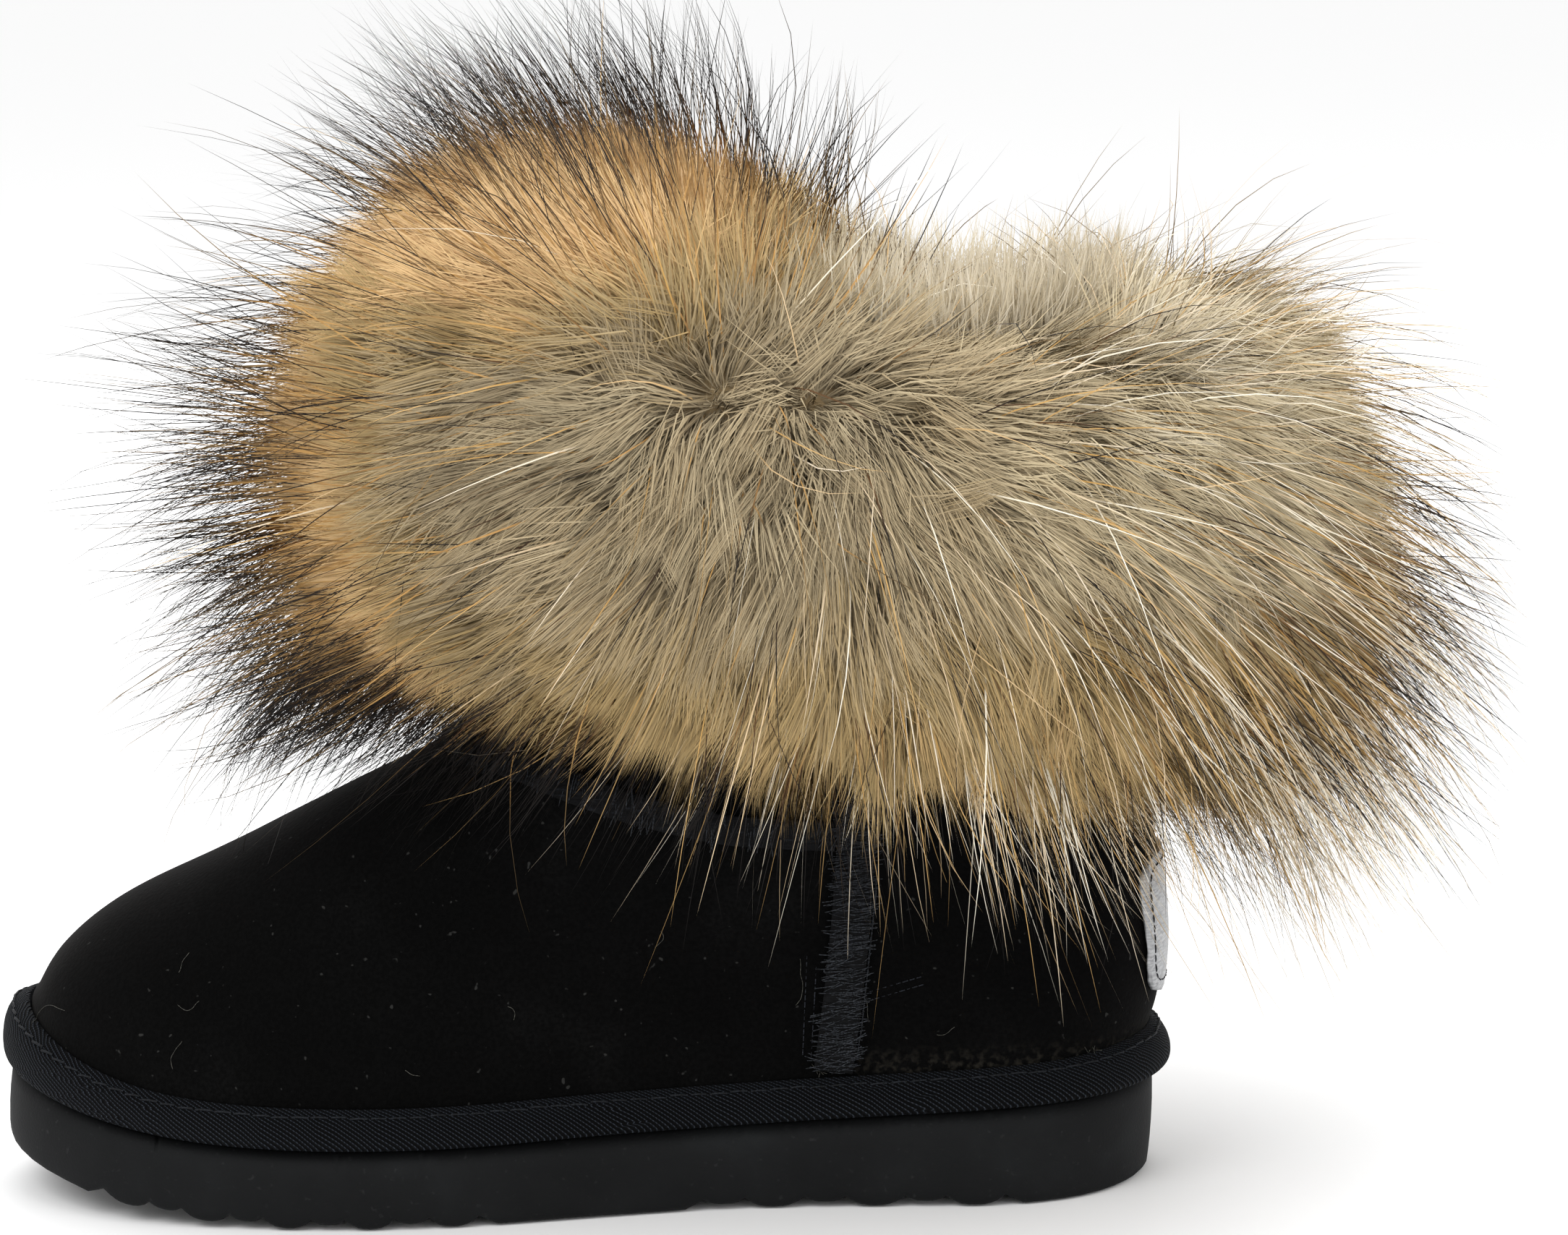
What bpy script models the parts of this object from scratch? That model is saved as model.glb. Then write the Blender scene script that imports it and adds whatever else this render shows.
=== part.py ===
"""A mukluk boot: suede foot and shaft, thick foam sole, taped edge and a deep fur cuff.

Every length here is in millimetres and becomes metres where a mesh is made. "Along" runs
from the toe end of the sole to its heel end and the toe points along -X. "Across" is the
distance from the middle plane, towards the inner side of the foot when it is positive.
The boot is a left one, so its outer side faces -Y. Tables hold shares of the named sizes.
"""

import math

import bmesh
import bpy
import numpy as np

# Driving sizes of the sole
SOLE_LENGTH = 274.4
BALL_WIDTH = 101.0
SOLE_THICKNESS = 18.4
TOE_SPRING = 10.0
SOLE_LEAN = 1.3
EDGE_BEVEL = 1.1
HEEL_SET_IN = 1.5

# Waved tread under the sole: broad lugs reach the floor and narrow ones stand off it
LUG_DEPTH = 2.2
NARROW_LUG_RISE = 1.0
BROAD_TO_NARROW = 1.43
TREAD_RAMP = 4.0

# Taped edge, insole and suede
TAPE_HEIGHT = 9.9
TAPE_TOE_RISE = 5.2
TAPE_HEEL_RISE = 1.2
TAPE_OVERHANG = 2.4
TAPE_HEEL_BULGE = 0.8
TOE_REACH = 44.0
HEEL_REACH = 27.5
UPPER_INSET = 2.4
TOE_LEDGE = 2.7
WALL = 2.5
INSOLE_THICKNESS = 4.0
CLEARANCE = 0.35

# Foot and shaft above the sole's top face
INSTEP_HEIGHT = 85.0
COLLAR_HEIGHT = 178.0
COLLAR_DROP = 14.0
SHAFT_WIDTH = 96.0
TOE_OFFSET = 5.0
TOE_BLEND = 0.45

# Raised seams and the patch on the heel
SEAM_WIDTH = 9.0
VAMP_SEAM_WIDTH = 7.2
SEAM_THICKNESS = 1.3
SEAM_STOP = 15.0
PATCH_WIDTH = 34.0
PATCH_HEIGHT = 33.0
PATCH_CORNER = 7.0
PATCH_BOTTOM = 20.0
PATCH_THICKNESS = 1.0

# Fur cuff
FUR_START = 97.0
FUR_REACH = 50.0
LOCK_LENGTH = 42.0
LOCK_WIDTH = 23.0
LOCK_THICKNESS = 9.0
LOCK_SINK = 3.0

# How finely the loops are divided
FOOT_STATIONS = 23
CUFF_OUTER_ROWS = 9
METRES = 0.001

OUTER, INNER = -1, 1

# Plan outline of the sole: along as a share of the sole's length, across as a share of
# half the ball width. It starts at the toe and runs down the outer side to the heel.
PLAN_OUTLINE = (
    (0.000, 0.08),
    (0.014, -0.28),
    (0.060, -0.61),
    (0.140, -0.85),
    (0.240, -0.965),
    (0.345, -1.00),
    (0.450, -0.935),
    (0.560, -0.80),
    (0.660, -0.725),
    (0.760, -0.72),
    (0.865, -0.72),
    (0.940, -0.60),
    (0.984, -0.34),
    (1.000, 0.00),
    (0.984, 0.34),
    (0.940, 0.60),
    (0.865, 0.72),
    (0.760, 0.705),
    (0.660, 0.69),
    (0.560, 0.74),
    (0.450, 0.875),
    (0.360, 0.97),
    (0.270, 1.00),
    (0.170, 0.93),
    (0.075, 0.73),
    (0.018, 0.42),
)

# Sole sections: along as a share of its length, the underside's height as a share of the
# toe spring, and the thickness as a share of the thickness under the ball.
SOLE_SECTIONS = (
    (0.000, 1.130, 1.010),
    (0.050, 0.800, 1.005),
    (0.100, 0.510, 0.990),
    (0.160, 0.250, 0.985),
    (0.220, 0.080, 0.995),
    (0.290, 0.000, 1.000),
    (0.420, 0.000, 1.000),
    (0.520, 0.030, 1.045),
    (0.600, 0.000, 1.060),
    (0.730, 0.000, 1.140),
    (0.870, 0.000, 1.240),
    (1.000, 0.000, 1.315),
)

# Zones of the tread: where the first and the last groove lie along the sole, as shares of
# its length, how many lugs stand between them, and whether the first lug is a broad one.
FOREFOOT_TREAD = (0.106, 0.4295, 9, True)
HEEL_TREAD = (0.615, 0.870, 6, False)

# Section of one lug: place along it as a share of its length, and how far it has come down
# from the groove to its crest, as a share.
LUG_SECTION = ((0.16, 0.70), (0.34, 1.00), (0.66, 1.00), (0.84, 0.70))

# Crown of the foot, seen from the side: along as a share of the sole's length, height above
# the sole as a share of the instep height. It climbs the toe, the vamp and the shaft's front.
CROWN_LINE = (
    (0.0186, 0.000),
    (0.0205, 0.118),
    (0.0252, 0.190),
    (0.0324, 0.248),
    (0.0405, 0.307),
    (0.0500, 0.354),
    (0.0754, 0.450),
    (0.1159, 0.556),
    (0.1443, 0.612),
    (0.2023, 0.716),
    (0.2562, 0.813),
    (0.3411, 0.948),
    (0.3837, 1.006),
    (0.4340, 1.101),
    (0.4770, 1.242),
    (0.5070, 1.407),
    (0.5250, 1.607),
    (0.5360, 1.835),
    (0.5430, 2.100),
    (0.5500, 2.700),
    (0.5800, 7.000),
)

# Back of the boot: height as a share of the collar height, and how far the back line stands
# behind the foot of the upper, as a share of the sole's length.
BACK_LINE = (
    (0.00, 0.0000),
    (0.06, 0.0040),
    (0.13, 0.0120),
    (0.20, 0.0148),
    (0.30, 0.0105),
    (0.45, 0.0000),
    (0.70, -0.0060),
    (1.00, -0.0060),
)

# Half-width of the shaft's oval: height as a share of the collar height, half-width as a
# share of half the shaft's width.
SHAFT_OVAL = (
    (0.00, 0.70),
    (0.20, 0.73),
    (0.34, 0.78),
    (0.46, 0.85),
    (0.60, 0.92),
    (0.78, 0.97),
    (1.00, 1.00),
)

# Heights of the upper's sections above its taped skirt, as shares of the collar height.
UPPER_LEVELS = (
    0.000, 0.025, 0.060, 0.100, 0.143, 0.180, 0.214, 0.246, 0.277, 0.310, 0.343,
    0.376, 0.410, 0.450, 0.500, 0.565, 0.670, 0.820, 1.000,
)

# Turned section of the tape: how far out from the sole's edge as a share of the overhang
# (inwards is negative) and the height as a share of the tape's height.
TAPE_SECTION = (
    (0.30, 0.035),
    (0.86, 0.110),
    (1.00, 0.300),
    (0.88, 0.540),
    (0.45, 0.780),
    (-0.25, 0.940),
)

# Fur cuff: degrees round the shaft from the heel, reach as a share of the fur's reach, then
# the height of the belly, of the top and of the lower edge, from the collar's rim, as shares
# of the shaft's height under the fur.
FUR_SECTIONS = (
    (0.0, 1.10, -0.44, 0.30, -1.10),
    (30.0, 1.05, -0.47, 0.28, -1.08),
    (60.0, 0.92, -0.52, 0.22, -1.04),
    (85.0, 0.84, -0.52, 0.22, -1.02),
    (105.0, 0.90, -0.44, 0.30, -1.00),
    (125.0, 1.06, -0.34, 0.46, -0.98),
    (150.0, 1.34, -0.28, 0.54, -0.97),
    (180.0, 1.46, -0.26, 0.55, -0.96),
)

# Rows of locks on the cuff: place up the outside of its section as a share, how many locks
# go round, how freely they hang, how far their tips lift, and their length as a share.
LOCK_ROWS = (
    (0.22, 16, 0.85, 0.16, 0.80),
    (0.38, 16, 0.45, 0.22, 1.00),
    (0.55, 16, 0.10, 0.26, 1.05),
    (0.70, 15, 0.00, 0.30, 1.00),
    (0.84, 13, 0.00, 0.36, 0.85),
)

# How the long guard hairs make the locks fan out: degrees round the shaft from the heel, then
# by how much a lock's lift and its length grow there.
FUR_FAN = (
    (0.0, 1.7, 1.15),
    (50.0, 1.2, 1.05),
    (105.0, 1.1, 1.0),
    (145.0, 2.0, 1.25),
    (180.0, 2.3, 1.3),
)

# The crown of the fur on either side: degrees round the shaft from the heel, and height as a
# share of the shaft's height under the fur. Locks run away from it in every direction.
FUR_CROWN = 105.0
FUR_CROWN_RISE = 0.22
LOCK_SWING = 0.8

# Sections of a lock: place along it, its width and its thickness, as shares.
LOCK_SECTIONS = ((0.0, 0.65, 0.8), (0.36, 1.0, 1.0), (0.72, 0.68, 0.7))

# Across a lock: out along its width and its thickness, as shares of each half.
LOCK_CORNERS = ((1.0, -0.4), (0.0, 0.9), (-1.0, -0.4))


# Curves and tables


def smooth_curve(points, per_span, closed=False):
    """Return a curve through the points, with per_span samples to each span."""
    points = np.asarray(points, float)
    count = len(points)
    rows = []
    for i in range(count if closed else count - 1):
        b = points[i]
        c = points[(i + 1) % count]
        a = points[i - 1] if closed or i else 2 * b - c
        d = points[(i + 2) % count] if closed or i + 2 < count else 2 * c - b
        for t in np.arange(per_span) / per_span:
            bend = 2 * a - 5 * b + 4 * c - d
            twist = 3 * b - a - 3 * c + d
            rows.append(0.5 * (2 * b + (c - a) * t + bend * t**2 + twist * t**3))
    if not closed:
        rows.append(points[-1])
    return np.array(rows)


def read_table(rows, column, at):
    """Read a column of a table smoothly, at values of its first column."""
    curve = smooth_curve([(row[0], row[column]) for row in rows], 8)
    return np.interp(at, curve[:, 0], curve[:, 1])


def smooth_step(value, low, high):
    share = np.clip((value - low) / (high - low), 0.0, 1.0)
    return share * share * (3 - 2 * share)


def plan_sides():
    """Return both sides of the plan outline, toe first: along, across and outward normal."""
    scale = np.array([SOLE_LENGTH, BALL_WIDTH / 2])
    curve = smooth_curve(np.array(PLAN_OUTLINE) * scale, 40, closed=True)
    along = curve[:, 0] - curve[:, 0].min()
    curve[:, 0] = along * SOLE_LENGTH / along.max()
    tangent = np.roll(curve, -1, axis=0) - np.roll(curve, 1, axis=0)
    normal = np.stack([tangent[:, 1], -tangent[:, 0]], axis=1)
    normal /= np.linalg.norm(normal, axis=1)[:, None]
    line = np.roll(np.hstack([curve, normal]), -int(np.argmin(curve[:, 0])), axis=0)
    heel = int(np.argmax(line[:, 0]))
    back = np.vstack([line[heel:], line[:1]])[::-1]
    return {OUTER: line[: heel + 1], INNER: back}


PLAN = plan_sides()


def edge(side, along, inset):
    """Return plan points on one side of the outline, moved inwards by inset."""
    line = PLAN[side]
    across, out_along, out_across = (np.interp(along, line[:, 0], line[:, k]) for k in (1, 2, 3))
    inset = np.broadcast_to(inset, np.shape(along))
    return np.stack([along - out_along * inset, across - out_across * inset], axis=-1)


def plan_loop(stations, inset):
    """Return a closed loop round the outline: down the outer side, up the inner side."""
    inset = np.broadcast_to(inset, np.shape(stations))
    outer = edge(OUTER, stations, inset)
    inner = edge(INNER, stations[1:-1], inset[1:-1])
    return np.vstack([outer, inner[::-1]])


def round_trip(values):
    """Repeat values given per station round a loop made by plan_loop."""
    return np.concatenate([values, values[1:-1][::-1]])


def end_spaced(count, length):
    """Return stations from 0 to length, closer together at both ends."""
    return length * (1 - np.cos(np.linspace(0, math.pi, count))) / 2


def underside(along):
    share = read_table(SOLE_SECTIONS, 1, along / SOLE_LENGTH)
    return TOE_SPRING * np.maximum(share, 0.0)


def sole_top(along):
    share = read_table(SOLE_SECTIONS, 2, along / SOLE_LENGTH)
    return underside(along) + SOLE_THICKNESS * share


# Tread


def lug_edges(zone):
    """Return the grooves at the ends of each lug of a zone, and which lugs are broad."""
    start, end, lugs, broad_first = zone
    broad = [(lug % 2 == 0) == broad_first for lug in range(lugs)]
    reach = np.cumsum([BROAD_TO_NARROW if wide else 1.0 for wide in broad])
    shares = np.concatenate([[0.0], reach / reach[-1]])
    return SOLE_LENGTH * (start + (end - start) * shares), broad


def lug_stations(zone):
    """Return the places along one tread zone and the height of the tread there."""
    edges, broad = lug_edges(zone)
    rows = [(edges[0] - TREAD_RAMP, 0.0), (edges[0], LUG_DEPTH)]
    for lug, wide in enumerate(broad):
        crest = 0.0 if wide else NARROW_LUG_RISE
        for share, down in LUG_SECTION:
            place = edges[lug] + share * (edges[lug + 1] - edges[lug])
            rows.append((place, LUG_DEPTH - down * (LUG_DEPTH - crest)))
        rows.append((edges[lug + 1], LUG_DEPTH))
    rows.append((edges[-1] + TREAD_RAMP, 0.0))
    return rows


def tread_profile():
    """Return stations along the whole sole with the height of the tread at each."""
    rows = lug_stations(FOREFOOT_TREAD) + lug_stations(HEEL_TREAD)
    used = np.array([row[0] for row in rows])
    waist = (FOREFOOT_TREAD[1] * SOLE_LENGTH, HEEL_TREAD[0] * SOLE_LENGTH)
    for at in end_spaced(FOOT_STATIONS, SOLE_LENGTH):
        plain = at < used[0] or at > used[-1] or waist[0] < at < waist[1]
        if plain and np.abs(used - at).min() > TREAD_RAMP:
            rows.append((at, 0.0))
    return np.array(sorted(rows))


def rest_along(zone):
    """Return the middle of the flat crest of the broad lug nearest the middle of a zone."""
    edges, broad = lug_edges(zone)
    crests = ((edges[:-1] + edges[1:]) / 2)[np.array(broad)]
    nearest = np.argmin(np.abs(crests - (edges[0] + edges[-1]) / 2))
    return crests[nearest] - SOLE_LEAN


# The origin is on the floor, under the middle of a flat heel lug
ORIGIN_ALONG = rest_along(HEEL_TREAD)


# Meshes


def to_world(points):
    """Turn along, across and height in millimetres into metres from the origin."""
    moved = np.asarray(points, float) - (ORIGIN_ALONG, 0.0, 0.0)
    return moved * METRES


def finish_mesh(name, points, faces, material):
    """Make a named object of a closed mesh, with its faces pointing outwards."""
    mesh = bpy.data.meshes.new(name)
    mesh.from_pydata([tuple(p) for p in to_world(points)], [], faces)
    work = bmesh.new()
    work.from_mesh(mesh)
    bmesh.ops.recalc_face_normals(work, faces=work.faces)
    work.to_mesh(mesh)
    work.free()
    mesh.shade_smooth()
    mesh.set_sharp_from_angle(angle=math.radians(40))
    made = bpy.data.objects.new(name, mesh)
    bpy.context.scene.collection.objects.link(made)
    if material:
        mesh.materials.append(material)
    return made


def loft(rings, wrap):
    """Return points and quads between rings; wrap joins the last ring to the first."""
    count = len(rings[0])
    faces = []
    for r in range(len(rings) if wrap else len(rings) - 1):
        low = r * count
        high = ((r + 1) % len(rings)) * count
        for j in range(count):
            k = (j + 1) % count
            faces.append((low + j, low + k, high + k, high + j))
    return np.vstack(rings), faces


def ladder(first, count):
    """Return faces that close a plan loop, pairing its outer and inner sides."""
    half = count // 2
    faces = [(first, first + 1, first + count - 1)]
    for j in range(1, half - 1):
        faces.append((first + j, first + j + 1, first + count - j - 1, first + count - j))
    faces.append((first + half - 1, first + half, first + half + 1))
    return faces


def with_height(plan, height):
    return np.column_stack([plan, np.broadcast_to(height, len(plan))])


def closed_stack(name, rings, material):
    """Close a stack of plan loops with a ladder at each end."""
    points, faces = loft(rings, wrap=False)
    count = len(rings[0])
    faces += ladder(0, count) + ladder((len(rings) - 1) * count, count)
    return finish_mesh(name, points, faces, material)


def make_material(name, colour, roughness, metallic=0.0):
    made = bpy.data.materials.new(name)
    made.use_nodes = True
    shader = made.node_tree.nodes["Principled BSDF"]
    shader.inputs["Base Color"].default_value = (*colour, 1.0)
    shader.inputs["Roughness"].default_value = roughness
    shader.inputs["Metallic"].default_value = metallic
    return made


# Sole, insole and taped edge


def make_outsole(material):
    profile = tread_profile()
    stations = profile[:, 0]
    low = round_trip(underside(stations) + profile[:, 1])
    top = round_trip(sole_top(stations))
    set_in = HEEL_SET_IN * heel_share(stations)
    rings = []
    # Each row: share of the way down the wall, outward bulge, share of the forward lean
    for down, bulge, lean in ((0.0, 0.0, 0.0), (0.35, 0.7, 0.4), (0.80, 0.6, 1.0)):
        ring = with_height(plan_loop(stations, set_in - bulge), top + (low - top) * down)
        ring[:, 0] -= SOLE_LEAN * lean
        rings.append(ring)
    for inset, rise in ((0.0, EDGE_BEVEL), (EDGE_BEVEL, 0.0)):
        ring = with_height(plan_loop(stations, set_in + inset), low + rise)
        ring[:, 0] -= SOLE_LEAN
        rings.append(ring)
    return closed_stack("outsole", rings, material)


def toe_share(along):
    """One at the toe end, falling to zero over the reach of the toe."""
    return np.clip(1 - along / TOE_REACH, 0.0, 1.0) ** 2


def heel_share(along):
    """One at the heel end, falling to zero over the reach of the heel."""
    return smooth_step(along, SOLE_LENGTH - HEEL_REACH, SOLE_LENGTH)


def upper_inset(along):
    """How far the foot of the upper stands in from the sole's edge, wider at the toe."""
    return UPPER_INSET + TOE_LEDGE * toe_share(along)


def tape_height(along):
    """The tape stands higher where it is pulled round the toe and the heel."""
    return TAPE_HEIGHT + TAPE_TOE_RISE * toe_share(along) + TAPE_HEEL_RISE * heel_share(along)


def make_insole(material):
    stations = end_spaced(FOOT_STATIONS, SOLE_LENGTH)
    plan = plan_loop(stations, upper_inset(stations) + WALL + CLEARANCE)
    floor = round_trip(sole_top(stations)) + CLEARANCE
    rings = [with_height(plan, floor), with_height(plan, floor + INSOLE_THICKNESS)]
    return closed_stack("insole", rings, material)


def make_binding(material):
    stations = end_spaced(FOOT_STATIONS, SOLE_LENGTH)
    floor = round_trip(sole_top(stations)) + CLEARANCE
    tall = round_trip(tape_height(stations))
    inner = upper_inset(stations) - CLEARANCE
    bulge = TAPE_OVERHANG + TAPE_HEEL_BULGE * heel_share(stations)
    rings = [with_height(plan_loop(stations, inner), floor)]
    for out, rise in TAPE_SECTION:
        # Past the sole's edge the tape bulges by its overhang; inwards it spans its ledge
        inset = -bulge * out if out > 0 else -inner * out
        rings.append(with_height(plan_loop(stations, inset), floor + tall * rise))
    rings.append(with_height(plan_loop(stations, inner), floor + tall))
    points, faces = loft(rings, wrap=True)
    return finish_mesh("binding", points, faces, material)


# Upper: one hollow suede wall


def skirt_lines():
    """Return both sides of the upper's foot, as along and across, toe first."""
    lines = {}
    for side in (OUTER, INNER):
        along = PLAN[side][:, 0]
        lines[side] = edge(side, along, upper_inset(along))
    return lines


SKIRT = skirt_lines()
SKIRT_FRONT = SKIRT[OUTER][0, 0]
SKIRT_BACK = SKIRT[OUTER][-1, 0]


def crown_line():
    """Return the crown of the foot as along and height above the sole."""
    curve = smooth_curve(CROWN_LINE, 12)
    crown = curve * (SOLE_LENGTH, INSTEP_HEIGHT)
    crown[:, 0] += SKIRT_FRONT - crown[0, 0]
    return crown


CROWN = crown_line()


def front_of(height):
    """Where the slice of the upper at this height begins."""
    return np.interp(height, CROWN[:, 1], CROWN[:, 0])


def back_of(height):
    """Where the slice of the upper at this height ends."""
    return SKIRT_BACK + SOLE_LENGTH * read_table(BACK_LINE, 1, height / COLLAR_HEIGHT)


def foot_side(side, along, height, ridge):
    """Half of a foot slice: an arch at each place along, from the skirt up to the crown."""
    heel = SOLE_LENGTH * 0.7
    stretch = (SKIRT_BACK - heel) / (back_of(height) - heel)
    mapped = np.where(along > heel, heel + (along - heel) * stretch, along)
    skirt = np.interp(mapped, SKIRT[side][:, 0], SKIRT[side][:, 1])
    crown = np.interp(along, CROWN[:, 0], CROWN[:, 1])
    rise = np.clip((height - TAPE_HEIGHT) / np.maximum(crown - TAPE_HEIGHT, 1e-6), 0.0, 1.0)
    arch = (1 - rise**2.1) ** (1 / 2.2)
    return ridge + (skirt - ridge) * arch


def level_height(along, height):
    """Height above the floor of a slice at one place along: the collar drops to the back."""
    front, back = front_of(height), back_of(height)
    slant = COLLAR_DROP * (height / COLLAR_HEIGHT) * (along - front) / (back - front)
    settled = smooth_step(height, TAPE_HEIGHT, TOE_BLEND * INSTEP_HEIGHT)
    skirt = (tape_height(along) - TAPE_HEIGHT) * (1 - settled)
    return sole_top(along) + CLEARANCE + height + skirt - slant


def shaft_side(side, along, height):
    """Half of a shaft slice: an oval between the front and the back line."""
    front, back = front_of(height), back_of(height)
    share = np.clip(np.abs(2 * (along - front) / (back - front) - 1), 0.0, 1.0)
    half = SHAFT_WIDTH / 2 * read_table(SHAFT_OVAL, 1, height / COLLAR_HEIGHT)
    return side * half * (1 - share**2.25) ** (1 / 2.25)


def upper_slice(height):
    """Return the closed loop of the upper's outside at a height above the sole."""
    shares = end_spaced(FOOT_STATIONS, 1.0)
    front, back = front_of(height), back_of(height)
    along = front + shares * (back - front)
    blend = smooth_step(height, 0.08 * COLLAR_HEIGHT, 0.56 * COLLAR_HEIGHT)
    ridge = TOE_OFFSET * (1 - smooth_step(along, 0.15 * SOLE_LENGTH, 0.5 * SOLE_LENGTH))
    sides = {}
    for side in (OUTER, INNER):
        foot = foot_side(side, along, height, ridge)
        sides[side] = (1 - blend) * foot + blend * shaft_side(side, along, height)
    middle = (sides[OUTER] + sides[INNER]) / 2
    for side in (OUTER, INNER):
        sides[side][0], sides[side][-1] = middle[0], middle[-1]
    across = np.concatenate([sides[OUTER], sides[INNER][1:-1][::-1]])
    along = round_trip(along)
    return np.column_stack([along, across, level_height(along, height)])


def upper_heights():
    """Return the height of each ring of the upper above the sole, skirt first."""
    span = COLLAR_HEIGHT - TAPE_HEIGHT
    return [0.0] + [TAPE_HEIGHT + span * level for level in UPPER_LEVELS]


def upper_grid():
    """Return the upper's outside as rings of points, with outward normals."""
    stations = end_spaced(FOOT_STATIONS, SOLE_LENGTH)
    plan = plan_loop(stations, upper_inset(stations))
    floor = round_trip(sole_top(stations)) + CLEARANCE
    skirt = round_trip(tape_height(stations))
    rings = [with_height(plan, floor), with_height(plan, floor + skirt)]
    rings += [upper_slice(height) for height in upper_heights()[2:]]
    grid = np.array(rings)
    around = np.roll(grid, -1, axis=1) - np.roll(grid, 1, axis=1)
    upwards = np.gradient(grid, axis=0)
    normal = np.cross(around, upwards)
    # The skirt's inside stays upright round the insole
    normal[0] = normal[1]
    normal[:2, :, 2] = 0.0
    normal /= np.linalg.norm(normal, axis=2)[:, :, None]
    return grid, normal


UPPER, UPPER_NORMAL = upper_grid()


def upper_ring_at(height):
    """Return the upper's faceted ring and its normals at a height above the sole."""
    levels = upper_heights()
    i = int(np.clip(np.searchsorted(levels, height) - 1, 0, len(levels) - 2))
    share = (height - levels[i]) / (levels[i + 1] - levels[i])
    return (
        UPPER[i] * (1 - share) + UPPER[i + 1] * share,
        UPPER_NORMAL[i] * (1 - share) + UPPER_NORMAL[i + 1] * share,
    )


def make_upper(material):
    outside = list(UPPER)
    inside = list(UPPER - UPPER_NORMAL * WALL)
    # The inside ends level with the outside at the sole and at the collar
    inside[0][:, 2] = outside[0][:, 2]
    inside[-1][:, 2] = outside[-1][:, 2]
    points, faces = loft(outside + inside[::-1], wrap=True)
    return finish_mesh("upper", points, faces, material)


# Overlays cut from the upper's own form


def upper_plate(name, rows, columns, thickness, material):
    """Return a closed plate over part of the upper, CLEARANCE off it."""
    rings = []
    for i in rows:
        base = UPPER[i][columns]
        out = UPPER_NORMAL[i][columns]
        near = base + out * CLEARANCE
        far = base + out * (CLEARANCE + thickness)
        rings.append(np.vstack([near, far[::-1]]))
    points, faces = loft(rings, wrap=False)
    count = len(rings[0])
    half = count // 2
    for first in (0, (len(rings) - 1) * count):
        for j in range(half - 1):
            faces.append((first + j, first + j + 1, first + count - j - 2, first + count - j - 1))
    return finish_mesh(name, points, faces, material)


def prism(name, outline, axis, low, high):
    """Return a cutter: a flat outline drawn out from low to high along one axis."""
    count = len(outline)
    points = np.vstack([np.insert(outline, axis, depth, axis=1) for depth in (low, high)])
    faces = [tuple(range(count)), tuple(range(count, 2 * count))]
    faces += [(j, (j + 1) % count, count + (j + 1) % count, count + j) for j in range(count)]
    made = finish_mesh(name, points, faces, None)
    made.hide_render = True
    made.display_type = "WIRE"
    return made


def keep_inside(piece, cutter):
    cut = piece.modifiers.new("outline", "BOOLEAN")
    cut.operation = "INTERSECT"
    cut.object = cutter


def band(line, width):
    """Return the outline of a band of a width along a line of along and height."""
    line = np.asarray(line, float)
    step = np.gradient(line, axis=0)
    step /= np.linalg.norm(step, axis=1)[:, None]
    out = np.stack([-step[:, 1], step[:, 0]], axis=1) * width / 2
    return np.vstack([line + out, (line - out)[::-1]])


def side_seam_line():
    """Middle of the overcast seam at the side, leaning back as it climbs."""
    foot = TAPE_HEIGHT + 5 * CLEARANCE
    top = FUR_START - SEAM_STOP
    rows = []
    for share in np.linspace(0.0, 1.0, 5):
        along = SOLE_LENGTH * (0.722 + 0.040 * share - 0.012 * share**2)
        rows.append((along, level_height(along, foot + (top - foot) * share)))
    return rows


def vamp_seam_line():
    """Middle of the seam over the instep, from the side seam up to the crown."""
    rows = []
    # Each row: along and height as shares of the sole's length and the instep height
    for along, height in ((0.7285, 0.795), (0.64, 0.83), (0.56, 0.90), (0.47, 1.01), (0.36, 1.10)):
        at = along * SOLE_LENGTH
        rows.append((at, sole_top(at) + height * INSTEP_HEIGHT))
    return rows


def columns_between(low, high, side):
    """Return the upper's columns whose share of the slice lies in a range, on one side."""
    shares = end_spaced(FOOT_STATIONS, 1.0)
    picked = [j for j in range(FOOT_STATIONS) if low <= shares[j] <= high]
    count = 2 * (FOOT_STATIONS - 1)
    return picked if side == OUTER else [(count - j) % count for j in picked]


def make_side_seam(name, side, material):
    rows = range(1, len(UPPER_LEVELS) - 3)
    columns = columns_between(0.40, 0.90, side)
    seam = upper_plate(name, rows, columns, SEAM_THICKNESS, material)
    reach = sorted((side * SEAM_WIDTH, side * BALL_WIDTH))
    outline = band(side_seam_line(), SEAM_WIDTH)
    keep_inside(seam, prism(name + "_outline", outline, 1, *reach))
    return seam


def make_vamp_seam(material):
    outer = columns_between(0.0, 0.90, OUTER)
    inner = columns_between(0.0, 0.90, INNER)
    columns = inner[:0:-1] + outer
    rows = range(6, len(UPPER_LEVELS) - 3)
    seam = upper_plate("vamp_seam", rows, columns, SEAM_THICKNESS, material)
    outline = band(vamp_seam_line(), VAMP_SEAM_WIDTH)
    keep_inside(seam, prism("vamp_seam_outline", outline, 1, -BALL_WIDTH, BALL_WIDTH))
    return seam


def rounded_rectangle(width, height, corner, steps):
    """Return an outline centred across, standing on zero."""
    points = []
    for quarter in range(4):
        x = (width / 2 - corner) * (1 if quarter in (0, 3) else -1)
        z = height / 2 + (height / 2 - corner) * (1 if quarter < 2 else -1)
        for step in range(steps + 1):
            angle = math.radians(90 * (quarter + step / steps))
            points.append((x + corner * math.cos(angle), z + corner * math.sin(angle)))
    return points


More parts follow.
